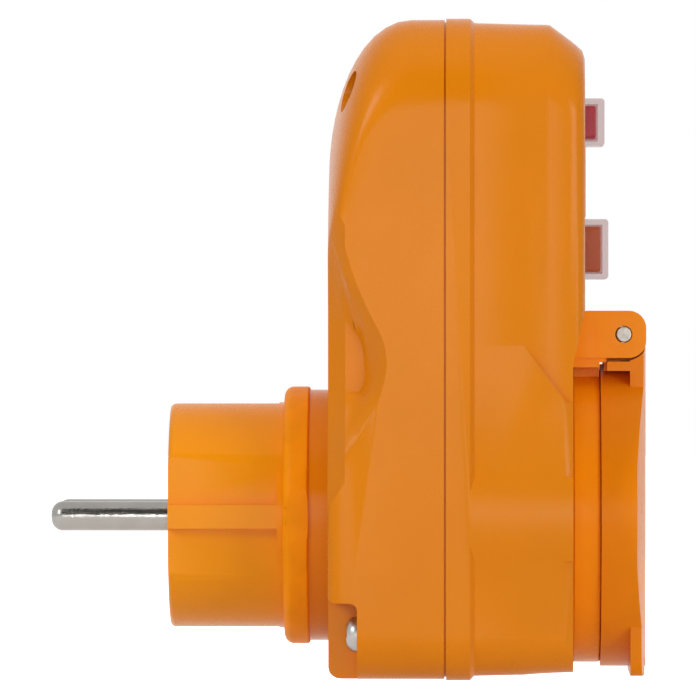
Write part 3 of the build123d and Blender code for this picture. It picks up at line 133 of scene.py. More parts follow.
class Finish:
    """A node material under construction, on object coordinates."""

    # Most of a noise's values lie between these two
    noise_low, noise_high = 0.3, 0.7

    def __init__(self, name, colour, roughness, metallic=0.0):
        old = bpy.data.materials.get(name)
        if old:
            bpy.data.materials.remove(old)
        self.material = bpy.data.materials.new(name)
        self.material.use_nodes = True
        self.nodes = self.material.node_tree.nodes
        self.links = self.material.node_tree.links
        self.shader = self.nodes["Principled BSDF"]
        self.shader.inputs["Base Color"].default_value = (*colour, 1)
        self.shader.inputs["Roughness"].default_value = roughness
        self.shader.inputs["Metallic"].default_value = metallic
        self.material.diffuse_color = (*colour, 1)
        self.place = self.nodes.new("ShaderNodeTexCoord").outputs["Object"]
        self.normal = None

    def put(self, socket, value):
        """Sets one of the shader's own sockets."""
        self.shader.inputs[socket].default_value = value

    def stretched(self, scale):
        """Object coordinates stretched by a factor along each axis."""
        mapping = self.nodes.new("ShaderNodeMapping")
        mapping.inputs["Scale"].default_value = scale
        self.links.new(self.place, mapping.inputs["Vector"])
        return mapping.outputs["Vector"]

    def noise(self, scale, detail=2.0, rough=0.5, stretch=None):
        """Noise with its value output."""
        node = self.nodes.new("ShaderNodeTexNoise")
        node.inputs["Scale"].default_value = scale
        node.inputs["Detail"].default_value = detail
        node.inputs["Roughness"].default_value = rough
        self.links.new(self.stretched(stretch) if stretch else self.place, node.inputs["Vector"])
        return node.outputs["Fac"]

    def cells(self, scale):
        """Cell pattern with its distance output."""
        node = self.nodes.new("ShaderNodeTexVoronoi")
        node.inputs["Scale"].default_value = scale
        self.links.new(self.place, node.inputs["Vector"])
        return node.outputs["Distance"]

    def ramp(self, value, stops):
        """Colour ramp over a value, from a list of (place, colour)."""
        node = self.nodes.new("ShaderNodeValToRGB")
        while len(node.color_ramp.elements) < len(stops):
            node.color_ramp.elements.new(0.5)
        for element, (place, colour) in zip(node.color_ramp.elements, stops):
            element.position = place
            element.color = (*colour, 1)
        self.links.new(value, node.inputs["Fac"])
        return node.outputs["Color"]

    def spread(self, value, low, high, start=noise_low, end=noise_high):
        """A value mapped from start..end to low..high."""
        node = self.nodes.new("ShaderNodeMapRange")
        for socket, number in zip(("From Min", "From Max", "To Min", "To Max"),
                                  (start, end, low, high)):
            node.inputs[socket].default_value = number
        self.links.new(value, node.inputs["Value"])
        return node.outputs["Result"]

    def roughness(self, value, low, high, start=noise_low, end=noise_high):
        """Roughness that varies with a pattern."""
        self.links.new(self.spread(value, low, high, start, end), self.shader.inputs["Roughness"])

    def mottle(self, value, colour, share):
        """Base colour that varies a little around one colour."""
        dark = tuple(c * (1 - share) for c in colour)
        light = tuple(min(1.0, c * (1 + share)) for c in colour)
        self.links.new(self.ramp(value, [(self.noise_low, dark), (self.noise_high, light)]),
                       self.shader.inputs["Base Color"])

    def bump(self, height, depth, strength=1.0):
        """Relief from a height pattern, on top of any before it."""
        node = self.nodes.new("ShaderNodeBump")
        node.inputs["Strength"].default_value = strength
        node.inputs["Distance"].default_value = depth
        self.links.new(height, node.inputs["Height"])
        if self.normal:
            self.links.new(self.normal, node.inputs["Normal"])
        self.normal = node.outputs["Normal"]
        self.links.new(self.normal, self.shader.inputs["Normal"])


def grained_plastic(name, colour, roughness, grain, depth):
    """Moulded plastic with a fine grain, faint flow marks and a low sheen."""
    finish = Finish(name, colour, roughness)
    fine = finish.noise(1 / grain, detail=3.0, rough=0.65)
    coarse = finish.noise(1 / (grain * 45), detail=2.0)
    finish.mottle(coarse, colour, 0.025)
    finish.roughness(fine, roughness - 0.05, roughness + 0.07)
    finish.bump(coarse, depth * 2, 0.25)
    finish.bump(fine, depth)
    finish.put("Specular IOR Level", 0.12)
    return finish.material


def smooth_plastic(name, colour, roughness, shine=0.5):
    """Smooth moulded plastic with faint sink marks and handling marks."""
    ripple = 0.000008
    finish = Finish(name, colour, roughness)
    wide = finish.noise(160, detail=2.0)
    marks = finish.noise(900, detail=4.0, rough=0.7, stretch=(1.0, 1.0, 0.25))
    finish.mottle(wide, colour, 0.02)
    finish.roughness(marks, roughness - 0.05, roughness + 0.07)
    finish.bump(wide, ripple * 4, 0.3)
    finish.bump(marks, ripple)
    finish.put("Specular IOR Level", shine)
    return finish.material


def soft_rubber(name, colour, roughness):
    """Matt elastomer with a fine dusty skin."""
    finish = Finish(name, colour, roughness)
    fine = finish.noise(2600, detail=3.0, rough=0.7)
    finish.mottle(finish.noise(220), colour, 0.05)
    finish.roughness(fine, roughness - 0.06, roughness + 0.08)
    finish.bump(fine, 0.000012)
    finish.put("Specular IOR Level", 0.08)
    return finish.material


def drawn_metal(name, colour, roughness, stretch=(0.04, 1.0, 1.0)):
    """Metal with fine drawing lines and slight tarnish."""
    finish = Finish(name, colour, roughness, 1.0)
    lines = finish.noise(3200, detail=4.0, rough=0.75, stretch=stretch)
    cloud = finish.noise(260, detail=3.0)
    finish.mottle(cloud, colour, 0.07)
    finish.roughness(lines, roughness - 0.06, roughness + 0.12)
    finish.bump(lines, 0.000006)
    return finish.material


def nickel_plate(name, colour):
    """Bright nickel over turned brass, with a pebbled skin and small scuffs."""
    finish = Finish(name, colour, 0.17, 1.0)
    pebble = finish.noise(2400, detail=2.0, stretch=(0.7, 1.0, 1.0))
    scuffs = finish.noise(2800, detail=5.0, rough=0.8, stretch=(0.06, 1.0, 1.0))
    finish.mottle(finish.noise(300), colour, 0.05)
    finish.roughness(scuffs, 0.10, 0.30)
    finish.bump(pebble, 0.000045, 0.70)
    finish.bump(scuffs, 0.000006)
    return finish.material


def cut_metal(name, colour):
    """Sawn and tumbled metal end, dull and finely pitted."""
    finish = Finish(name, colour, 0.52, 1.0)
    pits = finish.noise(5200, detail=4.0, rough=0.8)
    finish.mottle(finish.noise(1800, detail=3.0), colour, 0.16)
    finish.roughness(pits, 0.44, 0.62)
    finish.bump(pits, 0.000014)
    return finish.material


def soft_cover(name, colour):
    """Hazy see-through silicone."""
    finish = Finish(name, colour, 0.34)
    haze = finish.noise(500, detail=3.0)
    finish.mottle(haze, colour, 0.04)
    finish.roughness(haze, 0.28, 0.42)
    finish.bump(finish.noise(1800, detail=2.0), 0.000010)
    finish.put("Alpha", 0.34)
    finish.put("Specular IOR Level", 0.25)
    return finish.material


def enamelled_wire(name, colour):
    """Copper wire under clear enamel."""
    finish = Finish(name, colour, 0.26, 0.85)
    finish.mottle(finish.noise(700, detail=3.0), colour, 0.12)
    finish.bump(finish.noise(1600, detail=2.0), 0.000008)
    finish.put("Coat Weight", 0.7)
    finish.put("Coat Roughness", 0.12)
    return finish.material


def board_laminate(name):
    """Board under green lacquer, with rows of tracks that stand out faintly."""
    finish = Finish(name, (0.02, 0.16, 0.07), 0.32)
    tracks = finish.nodes.new("ShaderNodeTexBrick")
    for socket, number in (("Scale", 240), ("Mortar Size", 0.09), ("Mortar Smooth", 0.2),
                           ("Brick Width", 1.3), ("Row Height", 0.42)):
        tracks.inputs[socket].default_value = number
    tracks.inputs["Color1"].default_value = (0.020, 0.150, 0.065, 1)
    tracks.inputs["Color2"].default_value = (0.028, 0.190, 0.080, 1)
    tracks.inputs["Mortar"].default_value = (0.010, 0.090, 0.040, 1)
    turned = finish.nodes.new("ShaderNodeMapping")
    turned.inputs["Rotation"].default_value = (0, math.pi / 2, 0)
    finish.links.new(finish.place, turned.inputs["Vector"])
    finish.links.new(turned.outputs["Vector"], tracks.inputs["Vector"])
    finish.links.new(tracks.outputs["Color"], finish.shader.inputs["Base Color"])
    finish.bump(tracks.outputs["Fac"], 0.000030, 0.6)
    finish.roughness(finish.noise(900, detail=3.0), 0.24, 0.42)
    return finish.material


def pressed_powder(name, colour, roughness):
    """Sintered or dipped surface with a sandy grain."""
    finish = Finish(name, colour, roughness)
    sand = finish.cells(1700)
    finish.mottle(finish.noise(1200, detail=3.0), colour, 0.14)
    finish.roughness(sand, roughness - 0.05, roughness + 0.10, 0.0, 0.6)
    finish.bump(sand, 0.000020, 0.7)
    return finish.material


def banded_body(name, colour):
    """Resistor body with coloured rings that follow each other along Y."""
    finish = Finish(name, colour, 0.38)
    wave = finish.nodes.new("ShaderNodeTexWave")
    wave.bands_direction = "Y"
    wave.inputs["Scale"].default_value = 190
    wave.inputs["Distortion"].default_value = 0.4
    finish.links.new(finish.place, wave.inputs["Vector"])
    stops = [(0.0, (0.24, 0.04, 0.02)), (0.16, colour), (0.84, colour), (1.0, (0.02, 0.02, 0.02))]
    finish.links.new(finish.ramp(wave.outputs["Fac"], stops), finish.shader.inputs["Base Color"])
    finish.bump(finish.noise(1500), 0.000010)
    return finish.material


def make_finishes():
    """Every finish by the record's material slot."""
    c, s = colours(), sizes()
    orange = tuple(c.orange)
    grain, depth = s.grain_size, s.grain_depth
    satin = 0.08
    undrawn, drawn_along_y = (1.0, 1.0, 1.0), (1.0, 0.1, 1.0)
    return {
        "orange_shell": grained_plastic("grained orange shell", orange, 0.24, grain, depth),
        "orange_plug": grained_plastic("grained orange plug", tuple(c.plug_orange), 0.24, grain,
                                       depth * 1.8),
        "orange_rubber": soft_rubber("orange elastomer", tuple(c.ring_orange), 0.45),
        "orange_outlet": smooth_plastic("smooth orange collar", tuple(c.outlet_orange), 0.28,
                                        satin),
        "orange_lid": smooth_plastic("satin orange lid", tuple(c.lid_orange), 0.30, satin),
        "dark_seal": soft_rubber("dark seal", (0.02, 0.02, 0.02), 0.62),
        "plain_steel": drawn_metal("plated screw steel", tuple(c.steel), 0.30, undrawn),
        "nickel": nickel_plate("nickel plate", tuple(c.nickel)),
        "bright_steel": drawn_metal("bright spring steel", (0.60, 0.60, 0.59), 0.24, drawn_along_y),
        "pin_end": cut_metal("tumbled pin steel", (0.46, 0.44, 0.40)),
        "earth_metal": drawn_metal("plated earth strip", (0.62, 0.58, 0.48), 0.28),
        "sleeve_brass": drawn_metal("bright brass", (0.66, 0.45, 0.15), 0.25),
        "contact_metal": drawn_metal("silvered contact", (0.70, 0.66, 0.58), 0.26, undrawn),
        "inner_plastic": grained_plastic("pale inner plastic", (0.56, 0.54, 0.48), 0.50, grain,
                                         depth),
        "board": board_laminate("lacquered board"),
        "core": pressed_powder("coated core", (0.03, 0.03, 0.035), 0.50),
        "winding": enamelled_wire("enamelled winding", (0.62, 0.20, 0.05)),
        "conductor_brown": smooth_plastic("brown insulation", (0.09, 0.030, 0.012), 0.36),
        "conductor_blue": smooth_plastic("blue insulation", (0.012, 0.07, 0.38), 0.36),
        "test_red": smooth_plastic("crimson button", tuple(c.test_red), 0.30),
        "reset_red": smooth_plastic("orange red button", tuple(c.reset_red), 0.30),
        "clear_cover": soft_cover("soft see through cover", tuple(c.cover_tint)),
        "relay_coil": enamelled_wire("enamelled relay coil", (0.50, 0.13, 0.04)),
        "relay_iron": drawn_metal("relay iron", (0.42, 0.42, 0.43), 0.36, undrawn),
        "varistor_blue": pressed_powder("dipped blue disc", (0.012, 0.05, 0.26), 0.40),
        "resistor_body": banded_body("banded resistor", (0.42, 0.33, 0.19)),
        "film_case": smooth_plastic("red film case", (0.36, 0.012, 0.008), 0.30),
        "chip_case": pressed_powder("chip case", (0.010, 0.010, 0.011), 0.55),
    }


# Meshes


def finished(obj, slot):
    """Gives a piece the finish of a material slot."""
    obj.data.materials.clear()
    obj.data.materials.append(FINISHES[slot])
    return obj


def merged_copy(node, name):
    """A copy of a CAD node's mesh with its doubles merged and its flat regions joined."""
    slack, flat = 0.000002, math.radians(0.3)
    source = frame["nodes"][node].data
    mesh = bpy.data.meshes.new(name)
    work = bmesh.new()
    work.from_mesh(source)
    bmesh.ops.remove_doubles(work, verts=work.verts, dist=slack)
    bmesh.ops.dissolve_limit(work, angle_limit=flat, verts=work.verts, edges=work.edges)
    work.to_mesh(mesh)
    work.free()
    obj = bpy.data.objects.new(name, mesh)
    bpy.context.scene.collection.objects.link(obj)
    return obj


def smoothed(obj, angle=32.0):
    """Shades a piece smooth, with creases at its sharp edges."""
    mesh = obj.data
    work = bmesh.new()
    work.from_mesh(mesh)
    limit = math.radians(angle)
    for face in work.faces:
        face.smooth = True
    for edge in work.edges:
        edge.smooth = not (len(edge.link_faces) == 2 and edge.calc_face_angle(0.0) > limit)
    work.to_mesh(mesh)
    work.free()
    return obj


def dressed(node, edge_round):
    """A smooth shaded copy of a node with rounded edges, which stands for the node."""
    obj = smoothed(merged_copy(node, "dressed_" + node), CREASE_ANGLE)
    bevel = obj.modifiers.new("edge rounding", "BEVEL")
    bevel.width = edge_round
    bevel.segments = 2
    bevel.limit_method = "ANGLE"
    bevel.angle_limit = math.radians(CREASE_ANGLE)
    bevel.use_clamp_overlap = True
    bevel.harden_normals = True
    finished(obj, SLOT_OF[node])
    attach(obj, BODY_OF[node])
    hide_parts(node)
    return obj


# Geometry node trees


class Tree:
    """A geometry node tree under construction, with named inputs."""

    def __init__(self, name):
        self.group = bpy.data.node_groups.new(name, "GeometryNodeTree")
        self.group.interface.new_socket("Geometry", in_out="OUTPUT",
                                        socket_type="NodeSocketGeometry")
        self.inputs = self.group.nodes.new("NodeGroupInput")
        self.values = {}

    def take(self, name, kind, value):
        """A named input of the tree, with the value it gets."""
        socket = self.group.interface.new_socket(name, in_out="INPUT",
                                                 socket_type="NodeSocket" + kind)
        self.values[socket.identifier] = value
        return self.inputs.outputs[name]

    def add(self, kind, settings=None, **links):
        """A node with its settings and its inputs, each a value or another node's output.

        An input is given by its name, or as s0, s1 and so on by its place.
        """
        node = self.group.nodes.new(kind)
        for key, value in (settings or {}).items():
            setattr(node, key, value)
        for key, value in links.items():
            place = int(key[1:]) if key[1:].isdigit() else key.replace("_", " ")
            socket = node.inputs[place]
            if isinstance(value, bpy.types.NodeSocket):
                self.group.links.new(value, socket)
            else:
                socket.default_value = value
        return node

    def maths(self, kind, a, b):
        """The value of a maths node."""
        return self.add("ShaderNodeMath", {"operation": kind}, s0=a, s1=b).outputs[0]

    def wire(self, curve, thickness, sides=10):
        """A round wire along a curve."""
        radius = self.maths("MULTIPLY", thickness, 0.5)
        circle = self.add("GeometryNodeCurvePrimitiveCircle", Resolution=sides, Radius=radius)
        return self.add("GeometryNodeCurveToMesh", Curve=curve,
                        Profile_Curve=circle.outputs["Curve"], Fill_Caps=True).outputs["Mesh"]

    def moved(self, geometry, place=(0, 0, 0), turn=(0, 0, 0)):
        """Geometry turned, then moved."""
        return self.add("GeometryNodeTransform", Geometry=geometry, Translation=place,
                        Rotation=turn).outputs[0]

    def made(self, name, geometry, material):
        """The tree's result as a plain mesh object with no modifier."""
        same_place = 1e-7
        real = self.add("GeometryNodeRealizeInstances", Geometry=geometry)
        smooth = self.add("GeometryNodeSetShadeSmooth", s0=real.outputs[0])
        last = self.add("GeometryNodeSetMaterial", Geometry=smooth.outputs[0],
                        Material=material)
        output = self.group.nodes.new("NodeGroupOutput")
        self.group.links.new(last.outputs[0], output.inputs[0])
        carrier = bpy.data.objects.new(name, bpy.data.meshes.new(name))
        bpy.context.scene.collection.objects.link(carrier)
        modifier = carrier.modifiers.new("build", "NODES")
        modifier.node_group = self.group
        for key, value in self.values.items():
            modifier[key] = value
        graph = bpy.context.evaluated_depsgraph_get()
        mesh = bpy.data.meshes.new_from_object(carrier.evaluated_get(graph), depsgraph=graph)
        carrier.modifiers.clear()
        carrier.data = mesh
        work = bmesh.new()
        work.from_mesh(mesh)
        bmesh.ops.remove_doubles(work, verts=work.verts, dist=same_place)
        bmesh.ops.recalc_face_normals(work, faces=work.faces)
        work.to_mesh(mesh)
        work.free()
        return carrier


def helix_tree(name, turns, radius, length, thickness, steps=28):
    """A tree with a helix along Z, the helix as a curve, and the wire's thickness."""
    tree = Tree(name)
    turn_count = tree.take("Turns", "Float", float(turns))
    spiral_radius = tree.take("Radius", "Float", radius)
    height = tree.take("Length", "Float", length)
    thick = tree.take("Wire Thickness", "Float", thickness)
    spiral = tree.add("GeometryNodeCurveSpiral", Resolution=steps, Rotations=turn_count,
                      Start_Radius=spiral_radius, End_Radius=spiral_radius, Height=height)
    return tree, spiral.outputs[0], thick


# Operators


class AdapterOperator(bpy.types.Operator):
    """Base of the adapter's operators."""

    bl_options = {"REGISTER", "UNDO"}


class ADAPTER_OT_finishes(AdapterOperator):
    """Make every finish and give each CAD node its own"""

    bl_idname = "adapter.finishes"
    bl_label = "Finishes"

    def execute(self, context):
        FINISHES.clear()
        FINISHES.update(make_finishes())
        for node, obj in frame["nodes"].items():
            obj.data.materials.clear()
            obj.data.materials.append(FINISHES[SLOT_OF[node]])
        return {"FINISHED"}


class ADAPTER_OT_shells(AdapterOperator):
    """Round the edges of the housing, the plug, the outlet and the lid"""

    bl_idname = "adapter.shells"
    bl_label = "Housing, plug and outlet"

    def execute(self, context):
        edge = sizes().edge_round
        for node, share in (("rear_housing", 1.0), ("front_housing", 1.0), ("plug_body", 1.0),
                            ("plug_seal_ring", 1.0), ("outlet_frame", 0.9), ("outlet_insert", 0.8),
                            ("lid", 0.9), ("contact_carrier", 0.6), ("button_guide", 0.6)):
            dressed(node, edge * share)
        self.draw_lid_close()
        return {"FINISHED"}

    def draw_lid_close(self):
        """Brings the closed lid's rim nearer to the collar, so that no light shows between."""
        seam, shift, slack = 0.06975, 0.00017, 0.00002
        for vertex in bpy.data.objects["dressed_lid"].data.vertices:
            if abs(vertex.co.x - seam) < slack:
                vertex.co.x -= shift


class ADAPTER_OT_metalwork(AdapterOperator):
    """Smooth the pins, screws, straps and contacts"""

    bl_idname = "adapter.metalwork"
    bl_label = "Pins, screws and straps"

    def execute(self, context):
        for node in ("plug_pin_left", "plug_pin_right", "hinge_pin", "housing_screws",
                     "retainer_screws", "plug_earth_strap", "outlet_earth_clip", "earth_rail",
                     "outlet_contact_left", "outlet_contact_right"):
            dressed(node, METAL_EDGE)
        for pin in (frame["nodes"]["hinge_pin"], bpy.data.objects["dressed_hinge_pin"]):
            pin.data.materials[0] = FINISHES["pin_end"]
        return {"FINISHED"}


class ADAPTER_OT_buttons(AdapterOperator):
    """Round the buttons and make the soft covers over them"""

    bl_idname = "adapter.buttons"
    bl_label = "Buttons and covers"

    def execute(self, context):
        for node, joint, travel in (("test", "test_press", TEST_TRAVEL),
                                    ("reset", "reset_press", RESET_TRAVEL)):
            dressed(node + "_button", BUTTON_EDGE)
            cover = smoothed(merged_copy(node + "_cover", node + "_cover_soft"), CREASE_ANGLE)
            finished(cover, "clear_cover")
            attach(cover, "housing")
            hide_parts(node + "_cover")
            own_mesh(cover)
        return {"FINISHED"}


class ADAPTER_OT_springs(AdapterOperator):
    """Wind the button springs and the hinge spring"""

    bl_idname = "adapter.springs"
    bl_label = "Springs"

    def execute(self, context):
        wire = sizes().spring_wire
        for node, joint, travel, turns in (
                ("test_spring", "test_press", TEST_TRAVEL, 6.0),
                ("reset_spring", "carriage_slide", RESET_TRAVEL, 5.0)):
            low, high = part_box(node)
            radius = (high.z - low.z) / 2 - wire / 2
            length = high.x - low.x - wire
            tree, curve, thick = helix_tree(node + " winding", turns, radius, length, wire)
            coil = tree.moved(tree.wire(curve, thick), (low.x + wire / 2, 0, (low.z + high.z) / 2),
                              (0, math.pi / 2, 0))
            spring = tree.made(node + "_wound", coil, FINISHES["bright_steel"])
            finished(spring, "bright_steel")
            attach(spring, "housing")
            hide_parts(node)
            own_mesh(spring)
        self.wind_hinge_spring(sizes().hinge_wire, sizes().hinge_turns)
        return {"FINISHED"}

    def wind_hinge_spring(self, wire, turns):
        """The torsion spring round the hinge pin, with a leg at each end."""
        low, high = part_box("hinge_spring")
        pin_low, pin_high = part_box("hinge_pin")
        x, z = (pin_low.x + pin_high.x) / 2, (pin_low.z + pin_high.z) / 2
        radius = high.z - z - wire / 2
        half = (high.y - low.y) / 2 - wire / 2
        sides, steps = 8, 20
        tree, curve, thick = helix_tree("hinge spring winding", turns, radius, 2 * half, wire,
                                        steps)
        coil = tree.moved(tree.wire(curve, thick, sides), (x, half, z), (math.pi / 2, 0, 0))
        back = tree.add("GeometryNodeCurvePrimitiveLine", Start=(x, half, z + radius),
                        End=(low.x + wire / 2, half, z + radius))
        down = tree.add("GeometryNodeCurvePrimitiveLine", Start=(x + radius, -half, z),
                        End=(x + radius, -half, z - radius + wire))
        joined = tree.add("GeometryNodeJoinGeometry")
        for part in (coil, tree.wire(back.outputs[0], thick, sides),
                     tree.wire(down.outputs[0], thick, sides)):
            tree.group.links.new(part, joined.inputs[0])
        spring = tree.made("hinge_spring_wound", joined.outputs[0], FINISHES["bright_steel"])
        finished(spring, "bright_steel")
        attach(spring, "housing")
        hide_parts("hinge_spring")


class ADAPTER_OT_windings(AdapterOperator):
    """Wind the transformer's core and the relay's coil with separate turns"""

    bl_idname = "adapter.windings"
    bl_label = "Windings"

    def execute(self, context):
        s = sizes()
        low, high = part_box("transformer_core")
        outer = (high.y - low.y) / 2
        inner, clear = 0.0070, s.winding_wire * 1.1
        sides, corner_steps = 8, 4
        tree = Tree("transformer winding")
        turns = tree.take("Turns", "Int", s.winding_turns)
        thick = tree.take("Wire Thickness", "Float", s.winding_wire)
        middle = tree.take("Mean Radius", "Float", (outer + inner) / 2)
        wide = tree.take("Section Width", "Float", outer - inner + clear)
        deep = tree.take("Section Depth", "Float", high.x - low.x + clear)
        loop = tree.add("GeometryNodeCurvePrimitiveQuadrilateral", Width=wide, Height=deep)
        bent = tree.add("GeometryNodeFilletCurve", {"mode": "POLY"}, Curve=loop.outputs[0],
                        Count=corner_steps, Radius=s.winding_wire)
        turn = tree.moved(tree.wire(bent.outputs[0], thick, sides), turn=(math.pi / 2, 0, 0))
        places = tree.add("GeometryNodeMeshCircle", Vertices=turns, Radius=middle)
        index = tree.add("GeometryNodeInputIndex").outputs[0]
        share = tree.maths("DIVIDE", index, turns)
        angle = tree.maths("MULTIPLY", share, 2 * math.pi)
        facing = tree.add("ShaderNodeCombineXYZ", Z=angle).outputs[0]
        copies = tree.add("GeometryNodeInstanceOnPoints", Points=places.outputs[0],
                          Instance=turn, Rotation=facing).outputs[0]
        place = ((low.x + high.x) / 2, 0, (low.z + high.z) / 2)
        winding = tree.made("transformer_turns", tree.moved(copies, place, (0, math.pi / 2, 0)),
                            FINISHES["winding"])
        finished(winding, "winding")
        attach(winding, "housing")
        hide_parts("transformer_winding")
        self.wind_relay(s.relay_wire)
        return {"FINISHED"}

    def wind_relay(self, wire):
        """Layer of turns round the relay's coil, between two flanges."""
        low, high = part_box("relay_coil")
        radius, length = (high.z - low.z) / 2, high.x - low.x
        flange, edges, ring_steps, sides = 0.0006, 48, 36, 6
        ring_inset, body_inset = wire * 1.5, wire * 1.6
        tree = Tree("relay winding")
        thick = tree.take("Wire Thickness", "Float", wire)
        ring_radius = tree.take("Coil Radius", "Float", radius - ring_inset)
        room = length - 2 * flange - wire
        turn_count = int(room / wire)
        count = tree.take("Turns", "Int", turn_count)
        ring = tree.add("GeometryNodeCurvePrimitiveCircle", Resolution=ring_steps,
                        Radius=ring_radius)
        row = tree.add("GeometryNodeMeshLine", Count=count, Offset=(0, 0, room / turn_count))
        turns = tree.add("GeometryNodeInstanceOnPoints", Points=row.outputs[0],
                         Instance=tree.wire(ring.outputs[0], thick, sides)).outputs[0]
        body = tree.add("GeometryNodeMeshCylinder", Vertices=edges, Radius=radius - body_inset,
                        Depth=length)
        ends = tree.add("GeometryNodeMeshCylinder", Vertices=edges, Radius=radius, Depth=flange)
        joined = tree.add("GeometryNodeJoinGeometry")
        for part in (tree.moved(turns, (0, 0, flange + wire / 2)),
                     tree.moved(body.outputs[0], (0, 0, length / 2)),
                     tree.moved(ends.outputs[0], (0, 0, flange / 2)),
                     tree.moved(ends.outputs[0], (0, 0, length - flange / 2))):
            tree.group.links.new(part, joined.inputs[0])
        place = (low.x, (low.y + high.y) / 2, (low.z + high.z) / 2)
        coil = tree.made("relay_turns", tree.moved(joined.outputs[0], place, (0, math.pi / 2, 0)),
                         FINISHES["relay_coil"])
        finished(coil, "relay_coil")
        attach(coil, "housing")
        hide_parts("relay_coil")


class ADAPTER_OT_leads(AdapterOperator):
    """Add the legs of the control chip and the wire leads of the board's components"""

    bl_idname = "adapter.leads"
    bl_label = "Component leads"

    def execute(self, context):
        low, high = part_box("trip_chip")
        board_low, board_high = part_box("circuit_board")
        leg_count, pitches_in_height, leg_wide, leg_thick = 4, 4.4, 0.0011, 0.0005
        rise, stand_off = 0.0006, 0.0003
        tree = Tree("chip legs")
        count = tree.take("Legs", "Int", leg_count)
        pitch = tree.take("Pitch", "Float", (high.z - low.z) / pitches_in_height)
        leg = tree.add("GeometryNodeMeshCube",
                       Size=(board_low.x - low.x - rise, leg_wide, leg_thick))
        step = tree.add("ShaderNodeCombineXYZ", Z=pitch).outputs[0]
        row = tree.add("GeometryNodeMeshLine", Count=count, Offset=step)
        copies = tree.add("GeometryNodeInstanceOnPoints", Points=row.outputs[0],
                          Instance=leg.outputs[0]).outputs[0]
        joined = tree.add("GeometryNodeJoinGeometry")
        x = (low.x + rise + board_low.x) / 2
        start = low.z + (high.z - low.z) / (2 * leg_count)
        for y in (low.y - stand_off, high.y + stand_off):
            tree.group.links.new(tree.moved(copies, (x, y, start)), joined.inputs[0])
        legs = tree.made("chip_legs", joined.outputs[0], FINISHES["contact_metal"])
        finished(legs, "contact_metal")
        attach(legs, "housing")
        self.add_component_leads(board_low, board_high)
        return {"FINISHED"}

    def add_component_leads(self, board_low, board_high):
        """Wire leads of the disc, the resistor and the film case, down to the board."""
        radius, sink, overlap = 0.0003, 0.0002, 0.0003
        disc_reach, disc_half_pitch, elbow, case_inset = 0.0016, 0.0025, 0.0012, 0.0015
        work = bmesh.new()
        front, back = board_high.x - sink, board_low.x + sink
        low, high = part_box("varistor")
        y, z = (low.y + high.y) / 2, (low.z + high.z) / 2
        for dz in (-disc_half_pitch, disc_half_pitch):
            add_rod(work, (front, y, z + dz), (low.x + disc_reach, y, z + dz), radius)
        low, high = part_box("test_resistor")
        x, z = (low.x + high.x) / 2, (low.z + high.z) / 2
        for y, out in ((low.y, -elbow), (high.y, elbow)):
            add_rod(work, (x, y, z), (x, y + out, z), radius)
            add_rod(work, (x + radius, y + out, z), (front, y + out, z), radius)
        low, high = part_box("capacitor")
        z = (low.z + high.z) / 2
        for y in (low.y + case_inset, high.y - case_inset):
            add_rod(work, (high.x - overlap, y, z), (back, y, z), radius)
        mesh = bpy.data.meshes.new("component_leads")
        bmesh.ops.recalc_face_normals(work, faces=work.faces)
        work.to_mesh(mesh)
        work.free()
        leads = bpy.data.objects.new("component_leads", mesh)
        bpy.context.scene.collection.objects.link(leads)
        finished(smoothed(leads), "contact_metal")
        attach(leads, "housing")


def add_rod(work, start, end, radius):
    """Adds a round rod between two points to a mesh under construction."""
    sides = 12
    a, b = Vector(start), Vector(end)
    turn = (b - a).to_track_quat("Z", "Y").to_matrix().to_4x4()
    bmesh.ops.create_cone(work, cap_ends=True, segments=sides, radius1=radius, radius2=radius,
                          depth=(b - a).length, matrix=Matrix.Translation((a + b) / 2) @ turn)


